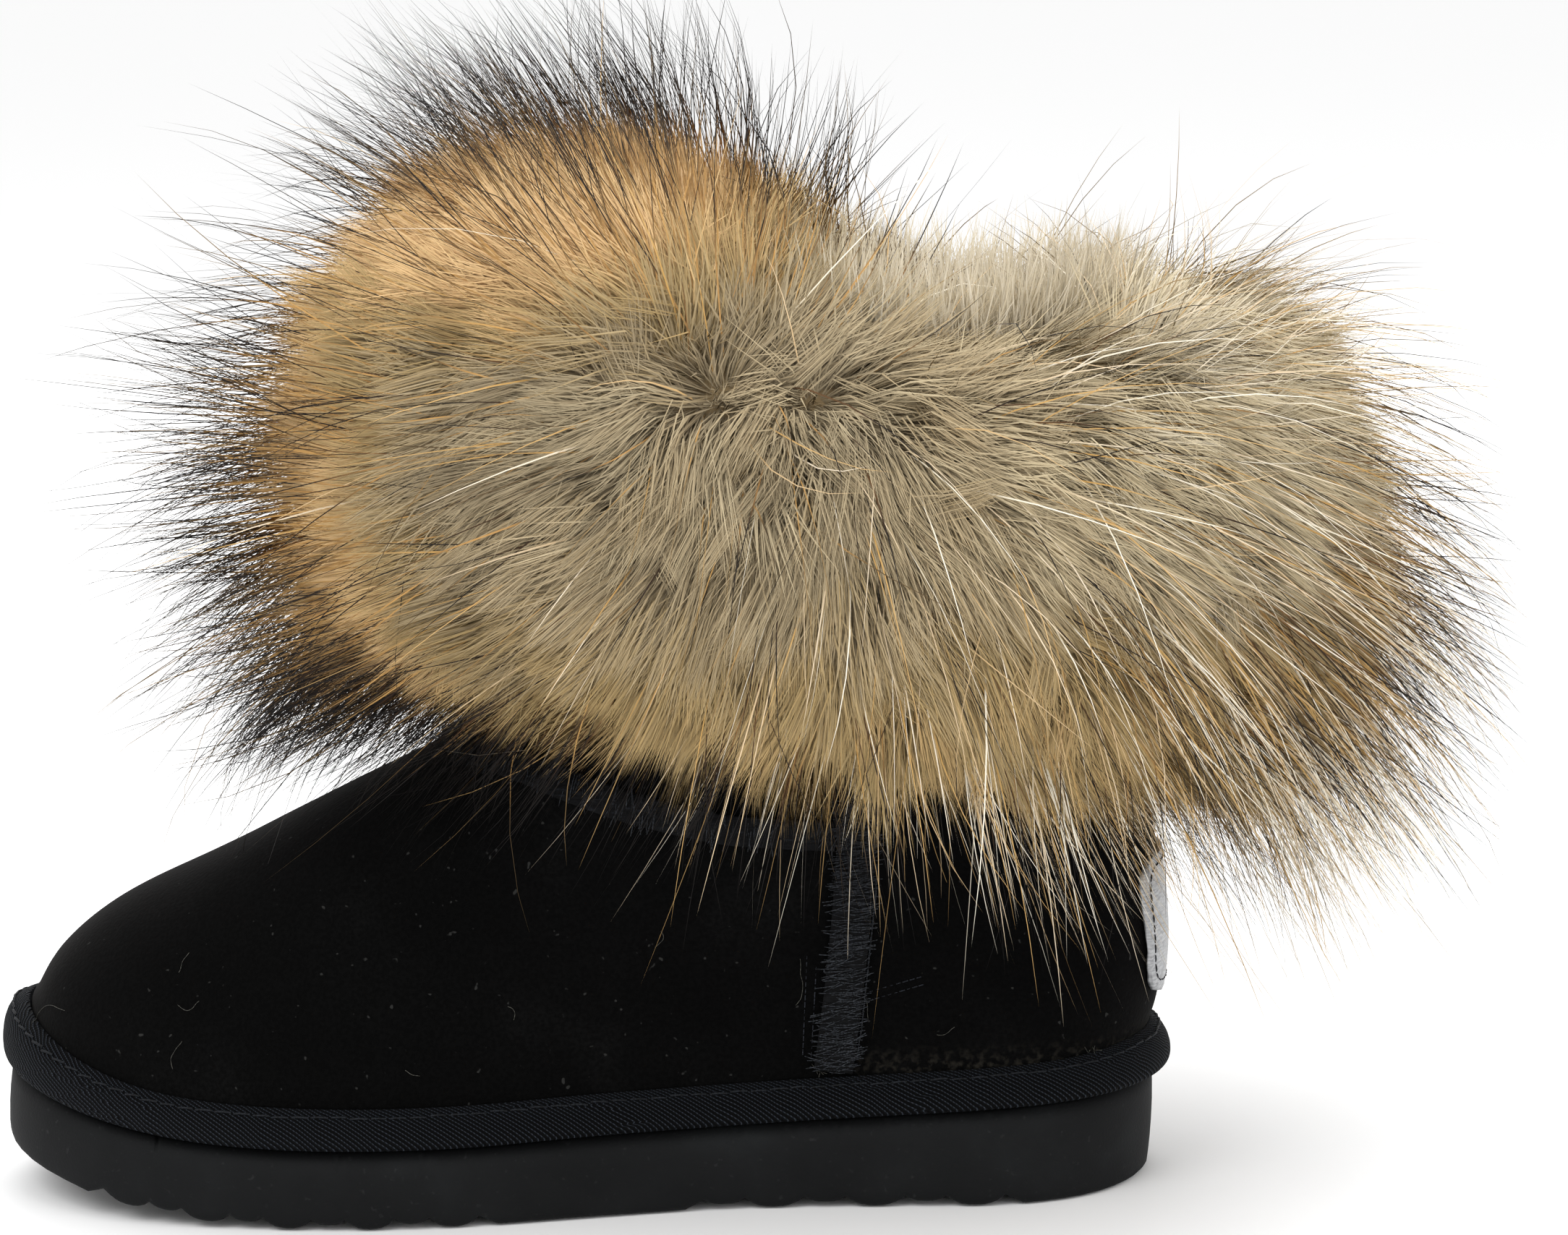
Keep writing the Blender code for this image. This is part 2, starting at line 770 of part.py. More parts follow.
def make_heel_patch(material):
    rows = range(1, 12)
    shares = end_spaced(FOOT_STATIONS, 1.0)
    last = FOOT_STATIONS - 1
    first = int(np.searchsorted(shares, 0.84))
    columns = list(range(first, 2 * last - first + 1))
    patch = upper_plate("heel_patch", rows, columns, PATCH_THICKNESS, material)
    outline = np.array(rounded_rectangle(PATCH_WIDTH, PATCH_HEIGHT, PATCH_CORNER, 3))
    outline[:, 1] += sole_top(SOLE_LENGTH) + PATCH_BOTTOM
    reach = (SOLE_LENGTH - PATCH_WIDTH, SOLE_LENGTH + PATCH_WIDTH)
    keep_inside(patch, prism("heel_patch_outline", outline, 0, *reach))
    return patch


# Fur cuff: a deep turned-down ring with locks fused on


def fur_wall():
    """Return the rings of the upper that the cuff lies on, CLEARANCE off it, rim first."""
    heights = [height for height in upper_heights() if height > FUR_START] + [FUR_START]
    rings = []
    for height in sorted(heights, reverse=True):
        ring, normal = upper_ring_at(height)
        rings.append(ring + normal * CLEARANCE)
    return rings


def shaft_middle():
    return (front_of(COLLAR_HEIGHT) + back_of(COLLAR_HEIGHT)) / 2


def round_shaft(point):
    """Return the degrees of a point round the shaft's middle, from the heel."""
    return math.degrees(math.atan2(point[1], point[0] - shaft_middle()))


def cuff_outside(rim, foot):
    """Return the outside of one section of the cuff, from its lower edge up to its rim."""
    turn = round_shaft(rim)
    reach, belly, top, low = (float(read_table(FUR_SECTIONS, k, abs(turn))) for k in (1, 2, 3, 4))
    outwards = np.array([math.cos(math.radians(turn)), math.sin(math.radians(turn)), 0.0])
    span = COLLAR_HEIGHT - FUR_START
    end = rim + outwards * FUR_REACH * reach
    end[2] = rim[2] + span * belly
    outside = []
    for swing in np.linspace(0.0, math.pi, CUFF_OUTER_ROWS + 1)[1:]:
        below = swing < math.pi / 2
        base = foot if below else rim
        point = base + (end - base) * math.sin(swing) ** 0.8
        edge_height = rim[2] + span * (low if below else top)
        point[2] = end[2] + (edge_height - end[2]) * abs(math.cos(swing)) ** 0.8
        outside.append(point)
    outside[-1][:2] = rim[:2]
    return outside


def cuff_rings():
    """Return the cuff's sections round the shaft, and the outside of each one."""
    wall = fur_wall()
    sections = []
    skin = []
    for column in range(len(wall[0])):
        inside = [ring[column] for ring in wall]
        outside = cuff_outside(inside[0], inside[-1])
        sections.append(np.array(inside + outside))
        skin.append(outside)
    return sections, skin


def fur_at(skin, turn, rise):
    """Return a point of the fur's outside: turn round the shaft and rise up it, as shares."""
    columns, rows = len(skin), len(skin[0])
    column = (turn % 1.0) * columns
    row = np.clip(rise, 0.0, 1.0) * (rows - 1)
    i, j = int(column), min(int(row), rows - 2)
    near = skin[i][j] * (j + 1 - row) + skin[i][j + 1] * (row - j)
    following = skin[(i + 1) % columns]
    far = following[j] * (j + 1 - row) + following[j + 1] * (row - j)
    return near * (i + 1 - column) + far * (column - i)


def fur_slopes(skin, turn, rise):
    """Return how the fur's outside moves with turn and with rise, and its outward normal."""
    nudge = 0.01
    along_turn = (fur_at(skin, turn + nudge, rise) - fur_at(skin, turn - nudge, rise)) / (2 * nudge)
    low, high = max(rise - nudge, 0.0), min(rise + nudge, 1.0)
    along_rise = (fur_at(skin, turn, high) - fur_at(skin, turn, low)) / (high - low)
    normal = np.cross(along_turn, along_rise)
    return along_turn, along_rise, normal / np.linalg.norm(normal)


def fur_flow(point):
    """Return how far a lock runs sideways and upwards, away from the crown of the fur."""
    degrees = round_shaft(point)
    past = abs(degrees) - FUR_CROWN
    reach = 180.0 - FUR_CROWN if past > 0 else FUR_CROWN
    sideways = math.copysign(LOCK_SWING, degrees) * math.sin(math.pi * past / reach)
    span = COLLAR_HEIGHT - FUR_START
    crown = level_height(shaft_middle(), COLLAR_HEIGHT) + span * FUR_CROWN_RISE
    upwards = np.clip((point[2] - crown) / (0.4 * span), -1.0, 1.0)
    return sideways, float(upwards)


def lock_path(skin, turn, rise, hang, lift, length):
    """Return the middle of a lock at each section and at its tip, and which way it stands."""
    root = fur_at(skin, turn, rise)
    along_turn, along_rise, normal = fur_slopes(skin, turn, rise)
    sideways, upwards = fur_flow(root)
    size = math.hypot(sideways, upwards) or 1.0
    turn_step = length * sideways / size / np.linalg.norm(along_turn)
    rise_step = length * upwards / size / np.linalg.norm(along_rise)
    path = []
    for share in [row[0] for row in LOCK_SECTIONS] + [1.0]:
        lying = fur_at(skin, turn + turn_step * share, rise + rise_step * share)
        hanging = root - (0.0, 0.0, length * share)
        off = length * lift * share**2 - LOCK_SINK * (1 - share)
        path.append(lying * (1 - hang) + hanging * hang + normal * off)
    return np.array(path), normal


def lock_mesh(path, normal):
    """Return one lock: a flat strip that leaves the fur and tapers to a point."""
    rings = []
    steps = np.gradient(path, axis=0)
    for middle, step, (share, width, depth) in zip(path, steps, LOCK_SECTIONS):
        run = step / np.linalg.norm(step)
        sideways = np.cross(run, normal)
        sideways /= np.linalg.norm(sideways)
        stand = np.cross(sideways, run)
        half_width = width * LOCK_WIDTH / 2
        half_depth = depth * LOCK_THICKNESS / 2
        corners = [sideways * a * half_width + stand * b * half_depth for a, b in LOCK_CORNERS]
        rings.append(middle + np.array(corners))
    points, faces = loft(rings, wrap=False)
    count = len(LOCK_CORNERS)
    last = len(points) - count
    faces.append(tuple(range(count)))
    faces += [(last + j, last + (j + 1) % count, len(points)) for j in range(count)]
    return np.vstack([points, path[-1][None]]), faces


def make_lock(name, skin, turn, row, length):
    rise, count, hang, lift, share = row
    degrees = abs(round_shaft(fur_at(skin, turn, rise)))
    more_lift, more_length = (float(read_table(FUR_FAN, k, degrees)) for k in (1, 2))
    more_length = 1 + (more_length - 1) * (1 - hang)
    path, normal = lock_path(skin, turn, rise, hang, lift * more_lift, length * share * more_length)
    lock = finish_mesh(name, *lock_mesh(path, normal), None)
    bpy.context.scene.collection.objects.unlink(lock)
    lock.hide_render = True
    lock.display_type = "WIRE"
    return lock


def make_fur_cuff(material):
    sections, skin = cuff_rings()
    points, faces = loft(sections, wrap=True)
    cuff = finish_mesh("fur_cuff", points, faces, material)
    spread = np.random.default_rng(7)
    locks = bpy.data.collections.new("fur_locks")
    bpy.context.scene.collection.children.link(locks)
    for number, row in enumerate(LOCK_ROWS):
        count = row[1]
        for k in range(count):
            turn = (k + 0.5 * (number % 2) + spread.uniform(-0.2, 0.2)) / count
            length = LOCK_LENGTH * spread.uniform(0.85, 1.2)
            locks.objects.link(make_lock(f"lock_{number}_{k}", skin, turn, row, length))
    fuse = cuff.modifiers.new("locks", "BOOLEAN")
    fuse.operation = "UNION"
    fuse.operand_type = "COLLECTION"
    fuse.collection = locks
    fuse.use_self = True
    return cuff


def clear_scene():
    for old in list(bpy.data.objects):
        bpy.data.objects.remove(old, do_unlink=True)


def main():
    clear_scene()
    foam = make_material("foam", (0.016, 0.016, 0.018), 0.75)
    tape = make_material("twill tape", (0.020, 0.022, 0.028), 0.85)
    suede = make_material("suede", (0.010, 0.010, 0.011), 0.95)
    thread = make_material("overcast thread", (0.030, 0.034, 0.042), 0.8)
    fleece = make_material("insole fleece", (0.60, 0.52, 0.40), 0.95)
    patch = make_material("heel patch", (0.42, 0.42, 0.43), 0.45)
    fur = make_material("fur", (0.46, 0.34, 0.20), 0.9)
    make_outsole(foam)
    make_insole(fleece)
    make_binding(tape)
    make_upper(suede)
    make_side_seam("side_seam_outer", OUTER, thread)
    make_side_seam("side_seam_inner", INNER, thread)
    make_vamp_seam(thread)
    make_heel_patch(patch)
    make_fur_cuff(fur)


main()
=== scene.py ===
# %% [markdown]
# # A mukluk boot with a deep fur cuff
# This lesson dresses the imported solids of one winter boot: a suede foot on a thick foam
# sole, a twill tape round the edge, and a cuff of long fur. The solids give every size and
# place. The cells below give the surfaces: nap, weave, thread, foam grain and hair.

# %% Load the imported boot
import math

import bmesh
import bpy
import numpy as np
from mathutils import Matrix, Vector
from mathutils.bvhtree import BVHTree
from mathutils.kdtree import KDTree


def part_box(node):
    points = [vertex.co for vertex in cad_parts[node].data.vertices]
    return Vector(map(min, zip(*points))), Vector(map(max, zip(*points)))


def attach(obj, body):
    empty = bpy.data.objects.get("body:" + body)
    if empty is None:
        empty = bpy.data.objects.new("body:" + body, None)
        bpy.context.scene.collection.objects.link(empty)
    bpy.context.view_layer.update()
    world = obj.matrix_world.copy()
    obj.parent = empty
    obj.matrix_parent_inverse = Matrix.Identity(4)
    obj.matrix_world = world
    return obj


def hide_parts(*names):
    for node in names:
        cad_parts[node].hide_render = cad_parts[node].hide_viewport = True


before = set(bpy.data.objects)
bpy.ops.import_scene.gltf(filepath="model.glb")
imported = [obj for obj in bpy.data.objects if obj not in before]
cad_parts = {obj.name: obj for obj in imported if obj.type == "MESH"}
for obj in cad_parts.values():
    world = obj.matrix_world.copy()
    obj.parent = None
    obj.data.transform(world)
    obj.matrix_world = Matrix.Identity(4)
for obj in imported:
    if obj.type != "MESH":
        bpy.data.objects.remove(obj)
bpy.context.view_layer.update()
MM = 0.001
print("nodes:", sorted(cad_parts))

# %% [markdown]
# ## Small helpers
# Colours are written as the hex values a screen shows, and one function turns them into the
# linear values that the renderer needs. One function adds a node with its settings and
# links, and a few short ones build on it, so that each material below reads as a short list.

# %% Colours and nodes


def linear(hex_code):
    """Turn an sRGB hex colour into linear RGBA."""
    parts = [int(hex_code[i : i + 2], 16) / 255 for i in (1, 3, 5)]
    return [c / 12.92 if c <= 0.04045 else ((c + 0.055) / 1.055) ** 2.4 for c in parts] + [1.0]


def add_node(tree, kind, settings=None, output=0):
    """Add a node and return an output; a setting is a property, a socket's value or a link."""
    made = tree.nodes.new(kind)
    for key, value in (settings or {}).items():
        if isinstance(value, bpy.types.NodeSocket):
            tree.links.new(value, made.inputs[key])
        elif isinstance(key, int) or key in made.inputs.keys():
            made.inputs[key].default_value = value
        else:
            setattr(made, key, value)
    if output is None:
        return made.outputs
    return made.outputs[output] if len(made.outputs) else None


def noise(tree, place, scale, detail):
    """Add noise over a place; the scale is in patches to a metre, roughly."""
    return add_node(tree, "ShaderNodeTexNoise", {"Scale": scale, "Detail": detail, "Vector": place})


def ramp(tree, value, stops):
    """Add a colour ramp over a value, from its stops: place and hex colour."""
    colour = add_node(tree, "ShaderNodeValToRGB", {"Fac": value})
    elements = colour.node.color_ramp.elements
    while len(elements) > 1:
        elements.remove(elements[-1])
    elements[0].position = stops[0][0]
    elements[0].color = linear(stops[0][1])
    for place, shade in stops[1:]:
        elements.new(place).color = linear(shade)
    return colour


def fade(tree, value, low, high, soft=False):
    """Map a value between low and high to 0 to 1."""
    settings = {"From Min": low, "From Max": high, "Value": value}
    if soft:
        settings = {"interpolation_type": "SMOOTHSTEP", **settings}
    return add_node(tree, "ShaderNodeMapRange", settings)


def maths(tree, operation, first, second=0.5):
    """Add a maths node on two numbers or sockets."""
    return add_node(tree, "ShaderNodeMath", {"operation": operation, 0: first, 1: second})


def mix(tree, blend, share, first, second):
    """Mix two colours by a share, all sockets or values."""
    settings = {"blend_type": blend, "Fac": share, "Color1": first, "Color2": second}
    return add_node(tree, "ShaderNodeMixRGB", settings)


def new_material(name):
    """Return a new material and its tree."""
    made = bpy.data.materials.new(name)
    made.use_nodes = True
    return made, made.node_tree


def dress(material, settings, height=None, strength=1.0, depth=0.0):
    """Set or feed the shader's sockets; a height gives a bump of some depth in mm."""
    tree = material.node_tree
    sockets = tree.nodes["Principled BSDF"].inputs
    if height is not None:
        bump = {"Strength": strength, "Distance": depth * MM, "Height": height}
        settings = {**settings, "Normal": add_node(tree, "ShaderNodeBump", bump)}
    for key, value in settings.items():
        if isinstance(value, bpy.types.NodeSocket):
            tree.links.new(value, sockets[key])
        else:
            sockets[key].default_value = value
    return material


# %% [markdown]
# ## Meshes
# A solid arrives as loose triangles. A smooth copy of one is merged, its triangles become
# quads again where they pair up, and a subdivision surface rounds what the facets stand for.

# %% Copies of the solids
MERGE_WITHIN = 0.002
CREASE_WEIGHT = 0.7


def link_mesh(name, mesh, material):
    """Make an object of a mesh, at the origin, with its material."""
    made = bpy.data.objects.new(name, mesh)
    bpy.context.scene.collection.objects.link(made)
    if material:
        mesh.materials.append(material)
    return made


def mesh_from(name, points, faces, material):
    """Make a smooth mesh object of points and faces."""
    mesh = bpy.data.meshes.new(name)
    mesh.from_pydata([tuple(p) for p in points], [], faces)
    mesh.shade_smooth()
    return link_mesh(name, mesh, material)


def smooth_copy(node, name, levels, crease_angle):
    """Return a merged and subdivided copy of a solid's mesh as a plain mesh object."""
    work = bmesh.new()
    work.from_mesh(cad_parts[node].data)
    bmesh.ops.remove_doubles(work, verts=work.verts, dist=MERGE_WITHIN * MM)
    flat, square = math.radians(50), math.radians(60)
    bmesh.ops.join_triangles(
        work, faces=work.faces, angle_face_threshold=flat, angle_shape_threshold=square
    )
    crease = work.edges.layers.float.new("crease_edge")
    for edge in work.edges:
        if edge.calc_face_angle(0.0) > math.radians(crease_angle):
            edge[crease] = CREASE_WEIGHT
    mesh = bpy.data.meshes.new(name)
    work.to_mesh(mesh)
    work.free()
    mesh.shade_smooth()
    made = link_mesh(name, mesh, None)
    rounded = made.modifiers.new("rounded", "SUBSURF")
    rounded.levels = levels
    rounded.render_levels = levels
    return bake_down(made)


def bake_down(piece):
    """Turn a piece with modifiers into a plain mesh."""
    graph = bpy.context.evaluated_depsgraph_get()
    mesh = bpy.data.meshes.new_from_object(piece.evaluated_get(graph))
    old = piece.data
    piece.modifiers.clear()
    piece.data = mesh
    bpy.data.meshes.remove(old)
    print(piece.name, "triangles:", sum(len(p.vertices) - 2 for p in mesh.polygons))
    return piece


def rows_of(mesh, key):
    """Return a mesh's vertex values as rows: "co" for places, "normal" for normals."""
    flat = np.empty(len(mesh.vertices) * 3)
    mesh.vertices.foreach_get(key, flat)
    return flat.reshape(-1, 3)


def tree_of(mesh):
    """Return a tree that rays can meet, of a mesh's faces."""
    return BVHTree.FromPolygons([v.co for v in mesh.vertices], [p.vertices for p in mesh.polygons])


def stand_for(piece, slot, *nodes):
    """Tell the frame what a piece rides on and hide the solids it replaces; the slot is not used."""
    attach(piece, "root")
    if nodes:
        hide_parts(*nodes)


def dressed_copy(node, name, slot, material, levels, crease_angle):
    """Make the smooth copy that stands for a solid, in its material, and return it."""
    piece = smooth_copy(node, name, levels, crease_angle)
    piece.data.materials.append(material)
    stand_for(piece, slot, node)
    return piece


# %% [markdown]
# ## Camera
# The camera stands a good metre off the outer side of the boot, a little behind its middle
# and about a third of a metre up, with a long lens, so the sole shows its waved edge and the
# top of the cuff is seen slightly from above.

# %% Camera
LENS = 106.95
SENSOR = 36.0
CAMERA_DISTANCE = 1.075
CAMERA_HEIGHT = 0.320
CAMERA_TURN = math.radians(2.64)
CAMERA_ROLL = math.radians(-1.42)
AIM = np.array([-0.01950, 0.0, 0.13272])


def place_camera():
    """Make the camera and return its object."""
    spot = AIM + CAMERA_DISTANCE * np.array([math.sin(CAMERA_TURN), -math.cos(CAMERA_TURN), 0.0])
    spot[2] = CAMERA_HEIGHT
    ahead = AIM - spot
    ahead /= np.linalg.norm(ahead)
    right = np.cross(ahead, (0.0, 0.0, 1.0))
    right /= np.linalg.norm(right)
    up = np.cross(right, ahead)
    rolled = math.cos(CAMERA_ROLL) * right + math.sin(CAMERA_ROLL) * up
    top = -math.sin(CAMERA_ROLL) * right + math.cos(CAMERA_ROLL) * up
    data = bpy.data.cameras.new("camera")
    data.lens = LENS
    data.sensor_width = SENSOR
    data.sensor_fit = "HORIZONTAL"
    data.clip_start = 0.05
    made = bpy.data.objects.new("camera", data)
    bpy.context.scene.collection.objects.link(made)
    columns = np.eye(4)
    columns[:3, 0], columns[:3, 1], columns[:3, 2], columns[:3, 3] = rolled, top, -ahead, spot
    made.matrix_world = Matrix(columns)
    return made


camera = place_camera()
bpy.context.scene.camera = camera
print("camera at", [round(v, 3) for v in camera.matrix_world.translation])

# %% [markdown]
# ## Floor and lamps
# A big soft lamp above and in front, a wide fill, a rim lamp behind and a pale floor give the
# even light of a studio table. Black suede needs that much light from all sides: what is seen
# of it is mostly the pale rim of its fibres.

# %% Floor and lamps
FLOOR_SIZE = 16.0
LAMP_TARGET = Vector((0.0, 0.0, 0.12))
# Each row: name, place in metres, size in metres, power in watts
LAMPS = (
    ("key", (-0.9, -1.1, 1.5), 1.1, 15.0),
    ("top", (0.3, 0.3, 1.9), 1.6, 11.0),
    ("fill", (1.4, -1.2, 0.7), 1.2, 6.0),
    ("rim", (-0.2, 1.5, 1.0), 1.2, 8.0),
)


def hang_lamp(name, place, size, power):
    """Hang a square white lamp that faces the boot."""
    data = bpy.data.lights.new(name, "AREA")
    data.size = size
    data.energy = power
    made = bpy.data.objects.new(name, data)
    bpy.context.scene.collection.objects.link(made)
    made.location = place
    made.rotation_euler = (LAMP_TARGET - Vector(place)).to_track_quat("-Z", "Y").to_euler()


def make_floor():
    """Make the pale floor that the boot stands on."""
    material, _ = new_material("studio paper")
    dress(material, {"Base Color": linear("#FAFAFA"), "Roughness": 0.9})
    half = FLOOR_SIZE / 2
    corners = [(-half, -half, 0), (half, -half, 0), (half, half, 0), (-half, half, 0)]
    mesh_from("floor", corners, [(0, 1, 2, 3)], material)


make_floor()
for lamp in LAMPS:
    hang_lamp(*lamp)
world = bpy.data.worlds.new("studio")
bpy.context.scene.world = world
world.use_nodes = True
world.node_tree.nodes["Background"].inputs["Color"].default_value = linear("#FFFFFF")
world.node_tree.nodes["Background"].inputs["Strength"].default_value = 1.0
bpy.context.scene.view_settings.view_transform = "Standard"
print("lamps:", [lamp[0] for lamp in LAMPS])

# %% [markdown]
# ## Foam sole
# Boots like this stand on EVA, a closed-cell foam moulded in one block. The mould leaves a
# very fine even grain, and dust settles in it, so it looks charcoal and not black. The solid
# already has the lugs; a light subdivision turns their facets into soft waves. The grain
# here is about half a millimetre, coarser than the real one, so that it shows at all.

# %% Foam material and sole


def foam_material():
    """EVA foam: matte, IOR about 1.45, with fine grain and pale dust; looks soft and dry."""
    made, tree = new_material("moulded EVA foam")
    place = add_node(tree, "ShaderNodeTexCoord", output="Object")
    grain = noise(tree, place, 1600.0, 3.0)
    cloud = noise(tree, place, 42.0, 5.0)
    tone = ramp(tree, cloud, [(0.30, "#0B0C0D"), (0.55, "#101112"), (0.78, "#181A1B")])
    dust = ramp(tree, noise(tree, place, 620.0, 2.0), [(0.66, "#000000"), (0.80, "#1C1C1C")])
    look = {"Base Color": mix(tree, "ADD", 1.0, tone, dust), "Roughness": 0.72, "IOR": 1.45}
    return dress(made, {**look, "Specular IOR Level": 0.16}, grain, 0.25, 0.4)


sole = dressed_copy("outsole", "foam_sole", "foam", foam_material(), 1, 22)

# %% [markdown]
# ## Where the surface lies
# Fur, thread and lint all lie on the upper, so they need to ask where it is. A tree of its
# triangles answers that: a ray from far outside, towards the middle of the shaft, meets the
# outside first.

# %% Measure the upper
FAR_OUT = 0.4
upper_tree = tree_of(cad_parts["upper"].data)
upper_low, upper_high = (np.array(corner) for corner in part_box("upper"))
print("upper from", (upper_low / MM).round(1), "to", (upper_high / MM).round(1), "mm")


def outside_of_upper(start, direction):
    """Return the outermost point of the upper on a ray, in metres."""
    direction = Vector(direction).normalized()
    place, _, _, _ = upper_tree.ray_cast(Vector(start) + direction * FAR_OUT, -direction)
    return np.array(place)


# %% [markdown]
# ## Suede
# Suede is the flesh side of a hide, brushed so that its fibres stand up. It throws back
# almost no gloss, but the fibre tips catch light that comes from the side, so the edges of
# the form look paler and greyer than the middle. Sheen does that. The lining is sheared
# fleece, so the inner faces of the wall get their own material. The nap's noise is about a
# millimetre across, coarser than real nap, to be seen from a metre away.

# %% Suede and fleece


def suede_material():
    """Brushed suede: near black, rough, with sheen, and brown where the nap is worn."""
    made, tree = new_material("brushed suede")
    place = add_node(tree, "ShaderNodeTexCoord", output="Object")
    nap = noise(tree, place, 1100.0, 4.0)
    cloud = noise(tree, place, 26.0, 6.0)
    tone = ramp(tree, cloud, [(0.36, "#030303"), (0.54, "#050505"), (0.72, "#0C0C0C")])
    fleck = ramp(tree, nap, [(0.40, "#A8A8A8"), (0.62, "#FFFFFF")])
    colour = mix(tree, "MULTIPLY", 1.0, tone, fleck)
    dust = ramp(tree, noise(tree, place, 560.0, 1.0), [(0.74, "#000000"), (0.79, "#262625")])
    colour = mix(tree, "ADD", 1.0, colour, dust)
    across, _, up = add_node(tree, "ShaderNodeSeparateXYZ", {"Vector": place}, None)
    low = fade(tree, up, 0.0385, 0.0335)
    behind = fade(tree, across, -0.012, 0.004)
    broken = fade(tree, noise(tree, place, 620.0, 7.0), 0.47, 0.66)
    worn = maths(tree, "MULTIPLY", maths(tree, "MULTIPLY", low, behind), broken)
    colour = mix(tree, "MIX", worn, colour, linear("#211F1B"))
    look = {"Base Color": colour, "Roughness": 0.95, "Specular IOR Level": 0.06}
    sheen = {"Sheen Weight": 0.035, "Sheen Roughness": 0.45, "Sheen Tint": linear("#B9B4B0")}
    return dress(made, {**look, **sheen}, nap, 0.35, 0.5)


def fleece_material():
    """Sheared fleece: pale, matted curls about two millimetres across; looks warm and dull."""
    made, tree = new_material("sheared fleece")
    place = add_node(tree, "ShaderNodeTexCoord", output="Object")
    curls = add_node(tree, "ShaderNodeTexVoronoi", {"Scale": 420.0, "Vector": place})
    look = {"Base Color": ramp(tree, curls, [(0.0, "#D9CDB6"), (0.6, "#B7A68A")])}
    dress(made, {**look, "Roughness": 1.0, "Sheen Weight": 0.3}, curls, 0.8, 1.5)
    made.node_tree.nodes["Bump"].invert = True
    return made


# %% [markdown]
# ## Creases in the suede
# Suede folds softly where the foot bends: over the toe joint, at the ankle and low on the
# side. Each fold is a long, low hill or hollow that moves only the outer
# face of the wall. The fold's sizes are in a table, so one can be moved without the rest.

# %% Upper with its toe and ankle creases
FLEECE = fleece_material()
# Each row: centre, direction, half length, half width and height of a soft fold, in mm
SUEDE_FOLDS = (
    ((-110, -34, 82), (0.5, -0.75, -0.5), 22, 6, -0.7),
    ((-97, -36, 84), (0.45, -0.7, -0.6), 20, 6, 0.6),
    ((-120, 34, 78), (0.5, 0.75, -0.5), 20, 6, -0.6),
    ((30, -38, 62), (0.9, 0.0, -0.35), 24, 7, -0.7),
    ((46, -30, 84), (0.9, 0.2, -0.2), 18, 6, 0.7),
    ((36, 36, 70), (0.9, 0.0, -0.3), 22, 7, -0.7),
    ((-45, -42, 70), (0.8, 0.0, 0.6), 26, 8, -0.6),
    ((-60, -44, 58), (0.9, 0.0, 0.4), 26, 8, 0.5),
)
SHAFT_FROM = 0.12


def soft_fold(points, normals, centre, along, half_length, half_width, height):
    """Raise or sink a soft ridge: centre, direction and sizes in mm."""
    along = np.array(along, float) / np.linalg.norm(along)
    offset = points - np.array(centre) * MM
    lengthwise = offset @ along
    across = np.linalg.norm(offset - np.outer(lengthwise, along), axis=1)
    shape = np.exp(-((lengthwise / (half_length * MM)) ** 2) - (across / (half_width * MM)) ** 2)
    return points + normals * (shape * (height * MM))[:, None]


def split_wall(mesh):
    """Give the faces that look towards the boot's middle the second material."""
    # In the foot that middle is a line from toe to heel, and in the shaft a line upwards
    shaft = (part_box("fur_cuff")[0][0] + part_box("fur_cuff")[1][0]) / 2
    for face in mesh.polygons:
        x, y, z = face.center
        axis = np.array([min(max(x, -0.16), 0.03), 0.0, min(z, 0.06 + 0.5 * max(x + 0.16, 0.0))])
        if z > SHAFT_FROM:
            axis = np.array([shaft, 0.0, z])
        outwards = np.array(face.center) - axis
        face.material_index = 0 if outwards @ np.array(face.normal) > 0 else 1


def make_upper():
    """Make the smooth suede upper with a fleece inside."""
    piece = smooth_copy("upper", "suede_upper", 2, 70)
    mesh = piece.data
    points, normals = rows_of(mesh, "co"), rows_of(mesh, "normal")
    middle = (upper_low + upper_high) / 2
    for fold in SUEDE_FOLDS:
        moved = soft_fold(points, normals, *fold)
        outer = ((points - middle) * normals).sum(axis=1) > 0
        points = np.where(outer[:, None], moved, points)
    mesh.vertices.foreach_set("co", points.ravel())
    mesh.update()
    mesh.materials.append(suede_material())
    mesh.materials.append(FLEECE)
    split_wall(mesh)
    stand_for(piece, "suede", "upper")
    return piece


suede_upper = make_upper()

# %% [markdown]
# ## Insole
# The sock inside the boot is the same fleece on a flat sole, seen only from above.

# %% Insole
dressed_copy("insole", "fleece_insole", "insole fleece", FLEECE, 1, 40)

# %% [markdown]
# ## A measure along the tape
# The edge is bound with a strip of twill that is pulled round it, so the ridges of the weave
# follow the edge. That needs a measure along the tape and round its section: the first is how
# far round the plan a point lies, the second its height and how far inside the edge it is.

# %% A measure round the plan


def hull_of(points):
    """Return the convex hull of plan points, anticlockwise, as two chains of left turns."""
    ordered = sorted(map(tuple, np.round(points, 6)))

    def half(rows):
        """Return one chain, without its last point."""
        chain = []
        for p in rows:
            while len(chain) > 1 and (
                (chain[-1][0] - chain[-2][0]) * (p[1] - chain[-2][1])
                - (chain[-1][1] - chain[-2][1]) * (p[0] - chain[-2][0])
                <= 0
            ):
                chain.pop()
            chain.append(p)
        return chain[:-1]

    return np.array(half(ordered) + half(ordered[::-1]))


